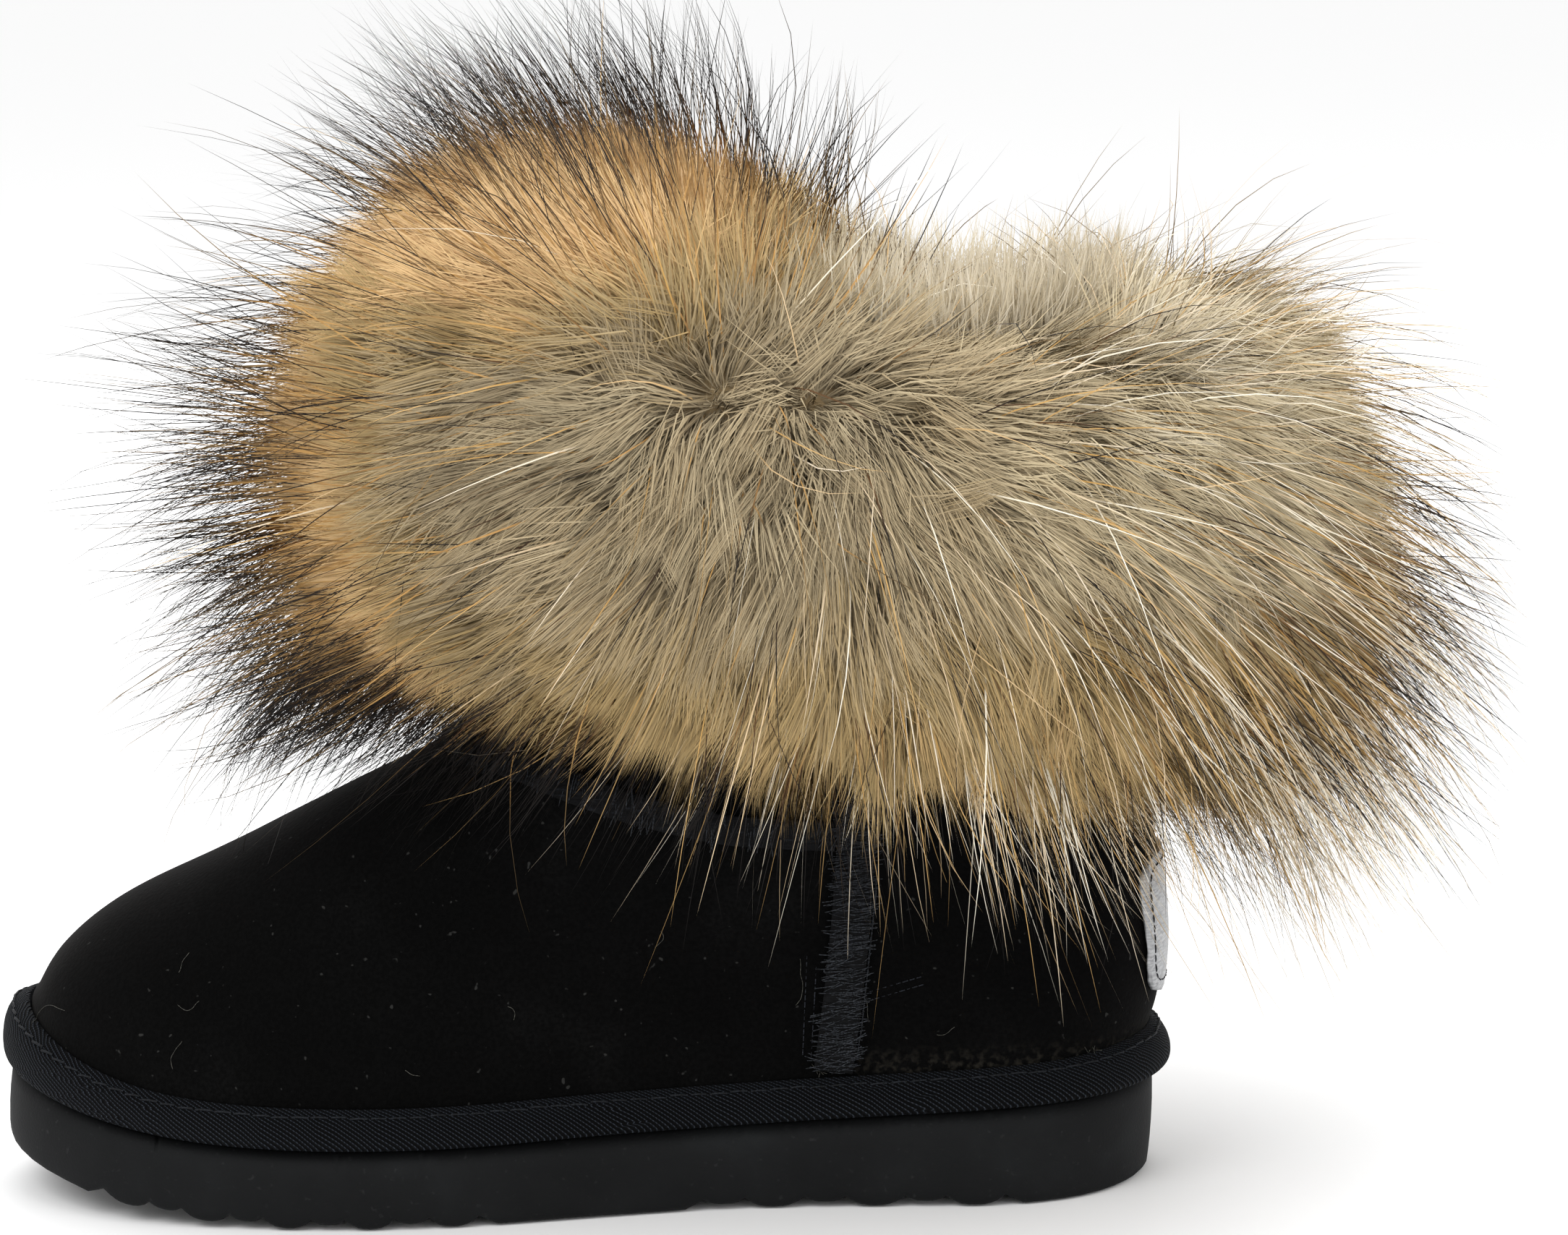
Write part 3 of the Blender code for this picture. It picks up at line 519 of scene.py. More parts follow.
def closed_line(points, step):
    """Return points at even steps round a closed line, and its whole length."""
    ring = np.vstack([points, points[:1]])
    reach = np.concatenate([[0.0], np.cumsum(np.linalg.norm(np.diff(ring, axis=0), axis=1))])
    places = np.arange(0.0, reach[-1], step)
    line = np.stack([np.interp(places, reach, ring[:, k]) for k in range(ring.shape[1])], axis=1)
    return line, reach[-1]


tape_points = rows_of(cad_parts["binding"].data, "co")
PLAN, PLAN_LENGTH = closed_line(hull_of(tape_points[:, :2]), 1.0 * MM)
print("once round the tape:", round(PLAN_LENGTH / MM), "mm")
plan_tree = KDTree(len(PLAN))
for number, spot in enumerate(PLAN):
    plan_tree.insert((spot[0], spot[1], 0.0), number)
plan_tree.balance()


def round_plan(point):
    """Return how far round the plan a point lies, and how far inside its edge."""
    _, number, away = plan_tree.find((point[0], point[1], 0.0))
    return number * PLAN_LENGTH / len(PLAN), away


# %% [markdown]
# ## Twill tape
# Twill is a cloth whose threads step sideways row by row and leave slanting ridges, here
# about 1.6 mm apart. Two waves make them: a strong one on the slant, and a weak one along the
# tape for the threads that cross it. The same waves give the relief and a colour with painted
# light in it: a painted highlight on each ridge top and painted shade in the grooves.

# %% Twill material and tape
RIDGE_SPACING = 1.6
RIDGE_SLANT = 1.35
# Radians of the cross threads' wave to a millimetre, and their share of the relief
CROSS_THREADS = 9.0
CROSS_SHARE = 0.16
# How much a step inwards counts round the section, against a step upwards
INWARD_SHARE = 0.8


def twill_material():
    """Cotton twill tape: blue-black slanting ridges, with a painted highlight on their tops and painted
    shade between.
    """
    made, tree = new_material("cotton twill tape")
    measure = add_node(tree, "ShaderNodeUVMap", {"uv_map": "tape"})
    along, across, _ = add_node(tree, "ShaderNodeSeparateXYZ", {"Vector": measure}, None)
    offset = maths(tree, "ADD", along, maths(tree, "MULTIPLY", across, RIDGE_SLANT))
    ridge = maths(tree, "SINE", maths(tree, "MULTIPLY", offset, 2 * math.pi / RIDGE_SPACING))
    thread = maths(tree, "SINE", maths(tree, "MULTIPLY", along, CROSS_THREADS))
    weave = maths(tree, "ADD", ridge, maths(tree, "MULTIPLY", thread, CROSS_SHARE))
    height = fade(tree, weave, -1.3, 1.3)
    # The ramp paints the light: pale ridge tops are painted highlight, black grooves painted shade.
    stops = [(0.0, "#000000"), (0.5, "#020203"), (0.8, "#0D0F12"), (1.0, "#40464F")]
    look = {"Base Color": ramp(tree, height, stops), "Roughness": 0.8, "Specular IOR Level": 0.08}
    sheen = {"Sheen Weight": 0.015, "Sheen Roughness": 0.4, "Sheen Tint": linear("#9DA8B8")}
    return dress(made, {**look, **sheen}, height, 1.0, 0.9)


def give_tape_measure(mesh):
    """Write the tape's own map: millimetres along it and round its section."""
    points = rows_of(mesh, "co")
    measured = np.array([round_plan(p) for p in points]) / MM
    along = measured[:, 0]
    across = measured[:, 1] * INWARD_SHARE + points[:, 2] / MM
    layer = mesh.uv_layers.new(name="tape")
    seam = PLAN_LENGTH / MM
    for face in mesh.polygons:
        corners = list(face.vertices)
        places = along[corners]
        wraps = places.max() - places.min() > seam / 2
        for loop, vertex in zip(face.loop_indices, corners):
            place = along[vertex]
            if wraps and place < seam / 2:
                place += seam
            layer.data[loop].uv = (place, across[vertex])


tape = dressed_copy("binding", "twill_tape", "twill tape", twill_material(), 2, 60)
give_tape_measure(tape.data)

# %% [markdown]
# ## Thread
# Stitches are the same small arch of thread again and again, so Geometry Nodes place them.
# A mesh of loose points says where; each point carries the way the stitch runs and the way
# it faces. The tree bends one arch, puts it on every point, and makes it real mesh.

# %% A tree of stitches
# Each row: the name of an input of the tree, its kind and its value at the start
STITCH_SOCKETS = (
    ("Geometry", "Geometry", None),
    ("Stitch Length", "Float", 0.003),
    ("Thread Thickness", "Float", 0.0005),
    ("Arch Height", "Float", 0.0004),
    ("Unevenness", "Float", 0.15),
    ("Seed", "Int", 3),
    ("Material", "Material", None),
)


def named_vector(tree, name):
    """Read a vector that each point carries."""
    settings = {"data_type": "FLOAT_VECTOR", "Name": name}
    return add_node(tree, "GeometryNodeInputNamedAttribute", settings)


def stitch_tree():
    """Build the tree that puts an arch of thread on every point."""
    tree = bpy.data.node_groups.new("stitches", "GeometryNodeTree")
    names = {}
    for name, kind, value in STITCH_SOCKETS:
        made = tree.interface.new_socket(name=name, in_out="INPUT", socket_type="NodeSocket" + kind)
        if value is not None:
            made.default_value = value
        names[name] = made.identifier
    tree.interface.new_socket(name="Geometry", in_out="OUTPUT", socket_type="NodeSocketGeometry")
    given = add_node(tree, "NodeGroupInput", None, None)
    half = maths(tree, "MULTIPLY", given["Stitch Length"], 0.5)
    minus = maths(tree, "MULTIPLY", given["Stitch Length"], -0.5)
    bend = {
        "Resolution": 4,
        "Start": add_node(tree, "ShaderNodeCombineXYZ", {"X": minus}),
        "Middle": add_node(tree, "ShaderNodeCombineXYZ", {"Z": given["Arch Height"]}),
        "End": add_node(tree, "ShaderNodeCombineXYZ", {"X": half}),
    }
    arch = add_node(tree, "GeometryNodeCurveQuadraticBezier", bend)
    radius = maths(tree, "MULTIPLY", given["Thread Thickness"], 0.5)
    section = {"Resolution": 5, "Radius": radius}
    section = add_node(tree, "GeometryNodeCurvePrimitiveCircle", section, "Curve")
    sweep = {"Fill Caps": True, "Curve": arch, "Profile Curve": section}
    thread = add_node(tree, "GeometryNodeCurveToMesh", sweep)
    turn = {
        "primary_axis": "Z",
        "secondary_axis": "X",
        "Primary Axis": named_vector(tree, "facing"),
        "Secondary Axis": named_vector(tree, "along"),
    }
    size = {
        "data_type": "FLOAT",
        2: maths(tree, "SUBTRACT", 1.0, given["Unevenness"]),
        3: maths(tree, "ADD", 1.0, given["Unevenness"]),
        "Seed": given["Seed"],
    }
    placed = {
        "Points": given["Geometry"],
        "Instance": thread,
        "Rotation": add_node(tree, "FunctionNodeAxesToRotation", turn),
        "Scale": add_node(tree, "FunctionNodeRandomValue", size, 1),
    }
    placed = add_node(tree, "GeometryNodeInstanceOnPoints", placed)
    real = add_node(tree, "GeometryNodeRealizeInstances", {"Geometry": placed})
    real = {"Geometry": real, "Material": given["Material"]}
    add_node(tree, "NodeGroupOutput", {"Geometry": add_node(tree, "GeometryNodeSetMaterial", real)})
    return tree, names


STITCH_TREE, STITCH_INPUTS = stitch_tree()


def sew(name, rows, material, length, thickness, arch, unevenness):
    """Sew stitches on rows of (place, along, facing), as one piece; sizes in mm."""
    mesh = bpy.data.meshes.new(name)
    mesh.from_pydata([tuple(row[0]) for row in rows], [], [])
    for key, column in (("along", 1), ("facing", 2)):
        layer = mesh.attributes.new(key, "FLOAT_VECTOR", "POINT")
        layer.data.foreach_set("vector", np.array([row[column] for row in rows], float).ravel())
    piece = link_mesh(name, mesh, None)
    nodes = piece.modifiers.new("stitches", "NODES")
    nodes.node_group = STITCH_TREE
    nodes[STITCH_INPUTS["Stitch Length"]] = length * MM
    nodes[STITCH_INPUTS["Thread Thickness"]] = thickness * MM
    nodes[STITCH_INPUTS["Arch Height"]] = arch * MM
    nodes[STITCH_INPUTS["Unevenness"]] = unevenness
    nodes[STITCH_INPUTS["Material"]] = material
    piece = bake_down(piece)
    piece.data.shade_smooth()
    stand_for(piece, "overcast thread")


# %% [markdown]
# ## Where a stitch sits
# Every stitch and fibre lies on a surface that can be met by a ray, either from one side
# towards the boot's middle, or from the camera through a place in the picture.

# %% Rays onto the boot
PICTURE_WIDTH, PICTURE_HEIGHT = 2168, 1708
# A ray from one side starts this far from the boot's middle, in metres
BESIDE = 0.2
suede_tree = tree_of(suede_upper.data)
tape_tree = tree_of(tape.data)
sole_tree = tree_of(sole.data)
bpy.context.view_layer.update()


def meet(tree, start, direction):
    """Return where a ray first meets a tree, and the normal there, or None twice."""
    place, normal, _, _ = tree.ray_cast(Vector(start), Vector(direction))
    return (None, None) if place is None else (np.array(place), np.array(normal))


def seen_at(across, down):
    """Return the place on the boot seen at a pixel of the picture, and its normal."""
    turn = np.array(camera.matrix_world)
    focal = LENS / SENSOR * PICTURE_WIDTH
    ray = np.array([(across - PICTURE_WIDTH / 2) / focal, -(down - PICTURE_HEIGHT / 2) / focal, -1.0])
    start, ray = turn[:3, 3], turn[:3, :3] @ ray
    hits = [meet(tree, start, ray) for tree in (suede_tree, tape_tree, sole_tree)]
    hits = [hit for hit in hits if hit[0] is not None]
    return min(hits, key=lambda hit: np.linalg.norm(hit[0] - start)) if hits else None


# %% [markdown]
# ## The row of stitches round the tape
# One row of long stitches holds the tape, just below its upper edge. The thread is black
# and waxed, so it shows by its gloss and its shadow, not by its colour.

# %% Stitch row round the tape


def thread_material(name, dark, pale):
    """Spun polyester thread: a fine twist of light and dark, with a little gloss."""
    made, tree = new_material(name)
    place = add_node(tree, "ShaderNodeTexCoord", output="Object")
    tone = ramp(tree, noise(tree, place, 2400.0, 1.0), [(0.4, dark), (0.62, pale)])
    return dress(made, {"Base Color": tone, "Roughness": 0.6, "Specular IOR Level": 0.15})


DIM_THREAD = thread_material("dim suede stitch thread", "#0C0D10", "#2A2D34")
BLACK_THREAD = thread_material("black waxed thread", "#070809", "#1A1D22")
GREY_THREAD = thread_material("blue grey overcast thread", "#0D0E10", "#34373C")
STITCH_STEP = 4.6
BELOW_EDGE = 1.3
SCAN_FROM, SCAN_TO, SCAN_STEP = 48.0, 24.0, -0.3
JUST_OUTSIDE = 0.03


def edge_rows():
    """Return the places of the stitches round the tape."""
    rows = []
    line, _ = closed_line(PLAN, STITCH_STEP * MM)
    for number, spot in enumerate(line):
        ahead = line[(number + 1) % len(line)] - line[number - 1]
        ahead = ahead / np.linalg.norm(ahead)
        outwards = np.array([ahead[1], -ahead[0], 0.0])
        start = np.array([spot[0], spot[1], 0.0]) + outwards * JUST_OUTSIDE
        # The tape's edge is where a ray, lower each time, meets it before the suede
        for height in np.arange(SCAN_FROM, SCAN_TO, SCAN_STEP) * MM:
            start[2] = height
            on_tape = tape_tree.ray_cast(Vector(start), Vector(-outwards))
            on_suede = suede_tree.ray_cast(Vector(start), Vector(-outwards))
            if on_tape[0] is not None and (on_suede[0] is None or on_tape[3] < on_suede[3]):
                break
        start[2] = height - BELOW_EDGE * MM
        place, normal = meet(tape_tree, start, -outwards)
        if place is not None:
            rows.append((place, (ahead[0], ahead[1], 0.0), normal))
    return rows


sew("tape_stitches", edge_rows(), BLACK_THREAD, 3.7, 0.55, 0.55, 0.08)

# %% [markdown]
# ## Overcast seams
# The vamp and the back part are joined by a thick overcast seam down each side, and one that
# runs forward below the fur. Blue-grey thread goes over and over the join, worn and frayed,
# so each strand differs. The band under the strands is the raised seam itself.

# %% Seams with their strands


def band_material():
    """The seam's band: strands pressed together, near black between them."""
    made, tree = new_material("overcast band")
    place = add_node(tree, "ShaderNodeTexCoord", output="Object")
    lay = add_node(tree, "ShaderNodeMapping", {"Scale": (0.22, 1.0, 1.0), "Vector": place})
    strands = noise(tree, lay, 1500.0, 3.0)
    tone = ramp(tree, strands, [(0.42, "#030304"), (0.60, "#090A0C"), (0.76, "#1C1E23")])
    look = {"Base Color": tone, "Roughness": 0.85, "Specular IOR Level": 0.15}
    return dress(made, look, strands, 0.8, 0.6)


BAND = band_material()
TRIES_PER_STRAND = 12
# A strand needs a face that looks this much towards its side
FACING_ENOUGH = 0.45
STEEP_SLANT = 0.25
seam_random = np.random.default_rng(11)


def strand_rows(mesh, side, count):
    """Return random strands across a seam's band, seen from one side."""
    tree = tree_of(mesh)
    points = rows_of(mesh, "co")
    low, high = points.min(axis=0), points.max(axis=0)
    lengthwise = high - low
    steep = lengthwise[2] > 1.2 * lengthwise[0]
    plane = (points - points.mean(axis=0))[:, (0, 2)]
    axis = np.linalg.svd(plane, full_matrices=False)[2][0]
    across = np.array([axis[1], 0.0, -axis[0]])
    if across[0] < 0:
        across = -across
    if steep:
        across = across + np.array([0.0, 0.0, STEEP_SLANT])
    rows = []
    for _ in range(count * TRIES_PER_STRAND):
        spot = low + seam_random.random(3) * lengthwise
        place, normal = meet(tree, (spot[0], side * BESIDE, spot[2]), (0.0, -side, 0.0))
        if place is None or normal[1] * side < FACING_ENOUGH:
            continue
        rows.append((place, across + seam_random.normal(0.0, 0.2, 3), normal))
        if len(rows) >= count:
            break
    return rows


# Each row: the seam's node, the side it is seen from and its number of strands
SEAMS = (("side_seam_outer", -1, 620), ("side_seam_inner", 1, 620), ("vamp_seam", -1, 170))
for seam, side, count in SEAMS:
    band = dressed_copy(seam, seam + "_band", "overcast thread", BAND, 1, 50)
    sew(seam + "_strands", strand_rows(band.data, side, count), GREY_THREAD, 3.8, 0.17, 0.7, 0.55)

# %% [markdown]
# ## Dotted rows beside the seam
# Short rows of small stitches run beside the side seam and off towards the heel. They are
# placed by where they are seen in the picture, and laid again on the far side.

# %% Small dotted rows
# Each row: the first and last pixel of a row of stitches in the picture
DOTTED = (
    ((1110, 1455), (1116, 1315)),
    ((1122, 1458), (1129, 1330)),
    ((1204, 1371), (1280, 1349)),
    ((1204, 1383), (1282, 1360)),
)
DOT_STEP = 9.0


def row_between(first, last):
    """Return stitches on the suede between two places of the picture."""
    a, b = np.array(first, float), np.array(last, float)
    count = max(int(np.linalg.norm(b - a) / DOT_STEP), 2)
    hits = [seen_at(*(a + (b - a) * k / count)) for k in range(count + 1)]
    rows = []
    for here, after in zip(hits, hits[1:]):
        along = after[0] - here[0]
        rows.append((here[0], along / np.linalg.norm(along), here[1]))
    return rows


def mirrored(rows):
    """Return the same rows on the other side of the boot, laid on its suede."""
    made = []
    for place, along, _ in rows:
        spot, normal = meet(suede_tree, (place[0], 0.1, place[2]), (0.0, -1.0, 0.0))
        if spot is not None:
            made.append((spot, np.array(along) * (1, -1, 1), normal))
    return made


dotted = [stitch for ends in DOTTED for stitch in row_between(*ends)]
sew("dotted_rows", dotted + mirrored(dotted), DIM_THREAD, 0.95, 0.22, 0.12, 0.4)

# %% [markdown]
# ## Loose fibres
# A worn suede boot carries lint: thin pale threads that lie in curls, and frayed ends at the
# foot of the seam. They are placed where the picture shows them, each a short bent tube.

# %% Lint
LINT_RADIUS = 0.075
FIBRE_STEP = 1.5
# Each row: a pixel of the picture, the way the fibre sets off in radians, its length in pixels
LINT = (
    (262, 1318, 2.2, 34),
    (246, 1390, 0.6, 40),
    (252, 1440, 1.9, 46),
    (44, 1416, -0.9, 62),
    (1100, 1390, -0.8, 70),
    (1150, 1452, 1.2, 34),
    (1200, 1408, -1.7, 52),
    (702, 1392, 0.2, 26),
    (905, 1310, -0.4, 30),
    (560, 1480, 0.5, 24),
    (1320, 1420, 2.6, 30),
)
FRAY_PLACES = ((1128, 1478), (1134, 1482), (1142, 1480), (1150, 1474), (1504, 1456), (1512, 1452))


def unit(rows):
    """Scale each row to length one."""
    return rows / np.maximum(np.linalg.norm(rows, axis=-1, keepdims=True), 1e-9)


def tube(points, radius, sides=5):
    """Return vertices and faces of a thin tube along points."""
    heading = unit(np.gradient(points, axis=0))
    first = unit(np.cross(heading, np.array([0.3, 0.5, 0.81])))
    second = np.cross(heading, first)
    angles = np.linspace(0, 2 * math.pi, sides, endpoint=False)
    rings = [points + radius * (math.cos(a) * first + math.sin(a) * second) for a in angles]
    vertices = np.stack(rings, axis=1).reshape(-1, 3)
    faces = []
    for k in range(0, len(vertices) - sides, sides):
        for s in range(sides):
            t = (s + 1) % sides
            faces.append((k + s, k + t, k + sides + t, k + sides + s))
    faces.append(tuple(reversed(range(sides))))
    faces.append(tuple(range(len(vertices) - sides, len(vertices))))
    return vertices, faces


def tubes_piece(name, lines, radius, material):
    """Make one piece of tubes along lines, with a radius in mm."""
    vertices, faces = [], []
    for line in lines:
        made, rings = tube(line, radius * MM)
        faces += [tuple(len(vertices) + c for c in ring) for ring in rings]
        vertices += list(made)
    stand_for(mesh_from(name, vertices, faces, material), "overcast thread")
    print(name, "lines:", len(lines))


def fibre(across, down, heading, length):
    """Return a loosely curling line from a place of the picture, just off the surface."""
    spot = np.array([across, down], float)
    bend = seam_random.normal(0.0, 0.05)
    line = []
    for _ in range(int(length / FIBRE_STEP)):
        hit = seen_at(*spot)
        if hit is not None:
            line.append(hit[0] + hit[1] * 0.2 * MM)
        bend = 0.85 * bend + seam_random.normal(0.0, 0.045)
        heading += bend
        spot += FIBRE_STEP * np.array([math.cos(heading), math.sin(heading)])
    return np.array(line)


def frayed_ends(across, down):
    """Return five short straight ends that stick out at a place of the picture."""
    place, normal = seen_at(across, down)
    lines = []
    for _ in range(5):
        away = unit(seam_random.normal(0.0, 1.0, 3) + normal * 0.8 + (0, 0, 0.5))
        share = np.linspace(0, 1, 4)[:, None]
        line = place + share * away * seam_random.uniform(1.0, 2.2) * MM
        lines.append(line + normal * 0.15 * MM)
    return lines


lint_lines = [fibre(*row) for row in LINT]
for fray in FRAY_PLACES:
    lint_lines += frayed_ends(*fray)
tubes_piece("lint_fibres", lint_lines, LINT_RADIUS, thread_material("pale lint", "#2A2A26", "#4C4B45"))

# %% [markdown]
# ## Twisted thread beside each side seam
# A two-ply thread lies along the back edge of the side seam and hides where the panels meet.
# Its two strands wind round one line, which follows the seam's own back edge.

# %% Edge threads
PLY_RADIUS, STRAND_RADIUS, TWISTS = 0.13, 0.15, 34
THREAD_FROM, THREAD_TO, THREAD_STEP = 35.0, 82.0, 2.0
BEHIND_SEAM, THREAD_LIFT = 0.6, 0.2


def back_edge(node, side):
    """Return a line on the suede just behind a side seam, from foot to top."""
    tree = tree_of(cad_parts[node].data)
    line = []
    for height in np.arange(THREAD_FROM, THREAD_TO, THREAD_STEP) * MM:
        for x in np.arange(8.0, -16.0, -0.25):
            if meet(tree, (x * MM, side * BESIDE, height), (0.0, -side, 0.0))[0] is not None:
                break
        start = ((x + BEHIND_SEAM) * MM, side * BESIDE, height)
        place, normal = meet(suede_tree, start, (0.0, -side, 0.0))
        line.append(place + normal * THREAD_LIFT * MM)
    places, line = np.linspace(0, len(line) - 1, 160), np.array(line)
    return np.stack([np.interp(places, range(len(line)), line[:, k]) for k in range(3)], axis=1)


for seam, side, _ in SEAMS[:2]:
    middle_line = back_edge(seam, side)
    strands = []
    for phase in (0.0, math.pi):
        turn = np.linspace(0, 2 * math.pi * TWISTS, len(middle_line)) + phase
        wound = np.stack([np.cos(turn), np.sin(turn), 0 * turn], axis=1)
        strands.append(middle_line + PLY_RADIUS * MM * wound)
    tubes_piece(seam + "_edge_thread", strands, STRAND_RADIUS, GREY_THREAD)

# %% [markdown]
# ## Heel patch
# High on the heel sits a small rounded patch with a silvery satin face. On a real boot it
# carries a name; here it is left bare, with a pressed rim and a stitched border.

# %% Bare heel patch
STITCH_INSET = 2.2
PATCH_STEP = 2.4


def patch_material():
    """Silvery coated cloth: satin, faint crosswise grain and small rubbed spots."""
    made, tree = new_material("silver coated cloth")
    place = add_node(tree, "ShaderNodeTexCoord", output="Object")
    lay = add_node(tree, "ShaderNodeMapping", {"Scale": (1.0, 1.0, 5.0), "Vector": place})
    grain = noise(tree, lay, 420.0, 4.0)
    rough = add_node(tree, "ShaderNodeMapRange", {"To Min": 0.3, "To Max": 0.55, "Value": grain})
    tone = ramp(tree, grain, [(0.3, "#7C7D7F"), (0.7, "#B9BABC")])
    return dress(made, {"Base Color": tone, "Roughness": rough, "Metallic": 0.6}, grain, 0.3, 0.2)


patch = dressed_copy("heel_patch", "bare_heel_patch", "heel patch", patch_material(), 1, 40)


def patch_rows():
    """Return stitches in a rounded square ring a little inside the patch's edge."""
    tree, points = tree_of(patch.data), rows_of(patch.data, "co")
    low, high = points.min(axis=0), points.max(axis=0)
    middle, half = (low + high) / 2, (high - low) / 2 - STITCH_INSET * MM
    ring = []
    for turn in np.linspace(0, 2 * math.pi, 200, endpoint=False):
        c, s = math.cos(turn), math.sin(turn)
        # The fifth power makes a circle into a square with round corners
        stretch = 1.0 / (abs(c) ** 5 + abs(s) ** 5) ** 0.2
        ring.append((middle[1] + half[1] * c * stretch, middle[2] + half[2] * s * stretch))
    line, _ = closed_line(np.array(ring), PATCH_STEP * MM)
    rows = []
    for number, (y, z) in enumerate(line):
        ahead = line[(number + 1) % len(line)] - line[number - 1]
        place, normal = meet(tree, (0.2, y, z), (-1.0, 0.0, 0.0))
        if place is not None:
            rows.append((place, (0.0, ahead[0], ahead[1]), normal))
    return rows


sew("patch_stitches", patch_rows(), BLACK_THREAD, 1.8, 0.35, 0.3, 0.08)

# %% [markdown]
# ## The fur cuff: where it grows
# The real cuff is a strip of raccoon-like pelt, sewn on at the collar and turned down. Its
# skin is never seen: what shows is a roll of hair some 50 mm deep. Here the roll's own form
# comes first, as a plain closed body set back from the tips, in the colour of the shadow
# between hairs. It is the same rule as the solid's: a section for each direction from the
# heel round to the toe, with how far it reaches and how high its belly, top and foot lie.

# %% Sections of the roll
CUFF_START = 97.0
CUFF_SPAN = 81.0
CUFF_REACH = 50.0
COLLAR_AT = 176.0
COLLAR_LEVEL = 0.175
ROOT_DEPTH = 15.0
# The roll's section is a rounded box: 1 would be an ellipse, less is squarer
SECTION_POWER = 0.8
NEAR_POLE = 0.02
INSET_UP = 0.9
# Degrees from the heel, reach, then belly, top and foot as shares of the span
CUFF_SECTIONS = np.array(
    [
        (0, 1.10, -0.44, 0.30, -1.10),
        (30, 1.05, -0.47, 0.28, -1.08),
        (60, 0.92, -0.52, 0.22, -1.04),
        (85, 0.84, -0.52, 0.22, -1.02),
        (105, 0.90, -0.44, 0.30, -1.00),
        (125, 1.06, -0.34, 0.46, -0.98),
        (150, 1.34, -0.28, 0.54, -0.97),
        (180, 1.46, -0.26, 0.55, -0.96),
    ]
)
TURNS = 120
RISES = 30


def shaft_ring(height):
    """Return the outside of the shaft at a height, one point for each direction."""
    ring = []
    for turn in np.linspace(0.0, 2 * math.pi, TURNS, endpoint=False):
        outwards = (math.cos(turn), math.sin(turn), 0.0)
        ring.append(outside_of_upper((SHAFT_MIDDLE, 0.0, height * MM), outwards) / MM)
    return np.array(ring)


collar_x = [outside_of_upper((0.0, 0.0, COLLAR_LEVEL), (side, 0, 0))[0] for side in (-1, 1)]
SHAFT_MIDDLE = sum(collar_x) / 2
RIM_FRONT, RIM_BACK = 198.0, 184.0
foot_ring = shaft_ring(CUFF_START)
rim_ring = shaft_ring(COLLAR_AT)
share = (rim_ring[:, 0] - collar_x[0] / MM) / ((collar_x[1] - collar_x[0]) / MM)
rim_ring[:, 2] = RIM_FRONT + (RIM_BACK - RIM_FRONT) * share
print("shaft middle at", round(SHAFT_MIDDLE / MM, 1), "mm")


def roll_points(inset):
    """Return the roll's outside, set back by some mm, as turns by rises by three."""
    turns = np.linspace(0.0, 2 * math.pi, TURNS, endpoint=False)
    degrees = np.degrees(np.minimum(turns, 2 * math.pi - turns))
    reach, belly, top, low = (
        np.interp(degrees, CUFF_SECTIONS[:, 0], CUFF_SECTIONS[:, k]) for k in range(1, 5)
    )
    outwards = np.stack([np.cos(turns), np.sin(turns), 0 * turns], axis=1)
    end = rim_ring + outwards * (CUFF_REACH * reach - inset)[:, None]
    middle_z = rim_ring[:, 2] + CUFF_SPAN * belly
    rows = []
    for swing in np.linspace(NEAR_POLE, math.pi - NEAR_POLE, RISES):
        below = swing < math.pi / 2
        base = foot_ring if below else rim_ring
        edge = rim_ring[:, 2] + CUFF_SPAN * (low if below else top)
        edge = edge + (INSET_UP * inset if below else -INSET_UP * inset)
        row = base + (end - base) * math.sin(swing) ** SECTION_POWER
        row[:, 2] = middle_z + (edge - middle_z) * abs(math.cos(swing)) ** SECTION_POWER
        rows.append(row)
    return np.stack(rows, axis=1) * MM


def grid_normals(grid):
    """Return the outward normals of a grid that is closed round its first axis."""
    along = np.roll(grid, -1, axis=0) - np.roll(grid, 1, axis=0)
    up = np.gradient(grid, axis=1)
    return unit(np.cross(along, up))


ROLL = roll_points(ROOT_DEPTH)
ROLL_NORMALS = grid_normals(ROLL)


def underfur_shade_material():
    """Matted underfur in painted shade: dull brown in soft clouds, the shade that shows between hairs.
    """
    made, tree = new_material("matted underfur in painted shade")
    place = add_node(tree, "ShaderNodeTexCoord", output="Object")
    # The brown is painted shade, the dark between hairs, put on an opaque body.
    tone = ramp(tree, noise(tree, place, 90.0, 5.0), [(0.3, "#6B5A40"), (0.6, "#8A7655")])
    return dress(made, {"Base Color": tone, "Roughness": 1.0})


def roll_body():
    """Make the plain closed roll under the hair."""
    inner = rim_ring.copy()
    inner[:, 2] -= 1.0
    hem = foot_ring.copy()
    hem[:, 2] = np.maximum(ROLL[:, 0, 2] / MM, hem[:, 2])
    rows = np.concatenate([ROLL, inner[:, None] * MM, hem[:, None] * MM], axis=1)
    count = rows.shape[1]
    faces = []
    for turn in range(TURNS):
        after = (turn + 1) % TURNS
        for rise in range(count):
            up = (rise + 1) % count
            near, far = turn * count, after * count
            faces.append((near + rise, far + rise, far + up, near + up))
    return mesh_from("underfur_roll", rows.reshape(-1, 3), faces, underfur_shade_material())


def inner_wall():
    """Return the wall above the rim, inside the fur, as turns by rises by three."""
    rise = ROLL[:, -1] / MM - rim_ring
    return np.stack([rim_ring + rise * share for share in np.linspace(0.15, 1.0, 6)], axis=1) * MM


WALL = inner_wall()
WALL_NORMALS = -grid_normals(WALL)
stand_for(roll_body(), "fur", "fur_cuff")
print("roll:", TURNS, "turns by", RISES, "rises, set back by", ROOT_DEPTH, "mm")

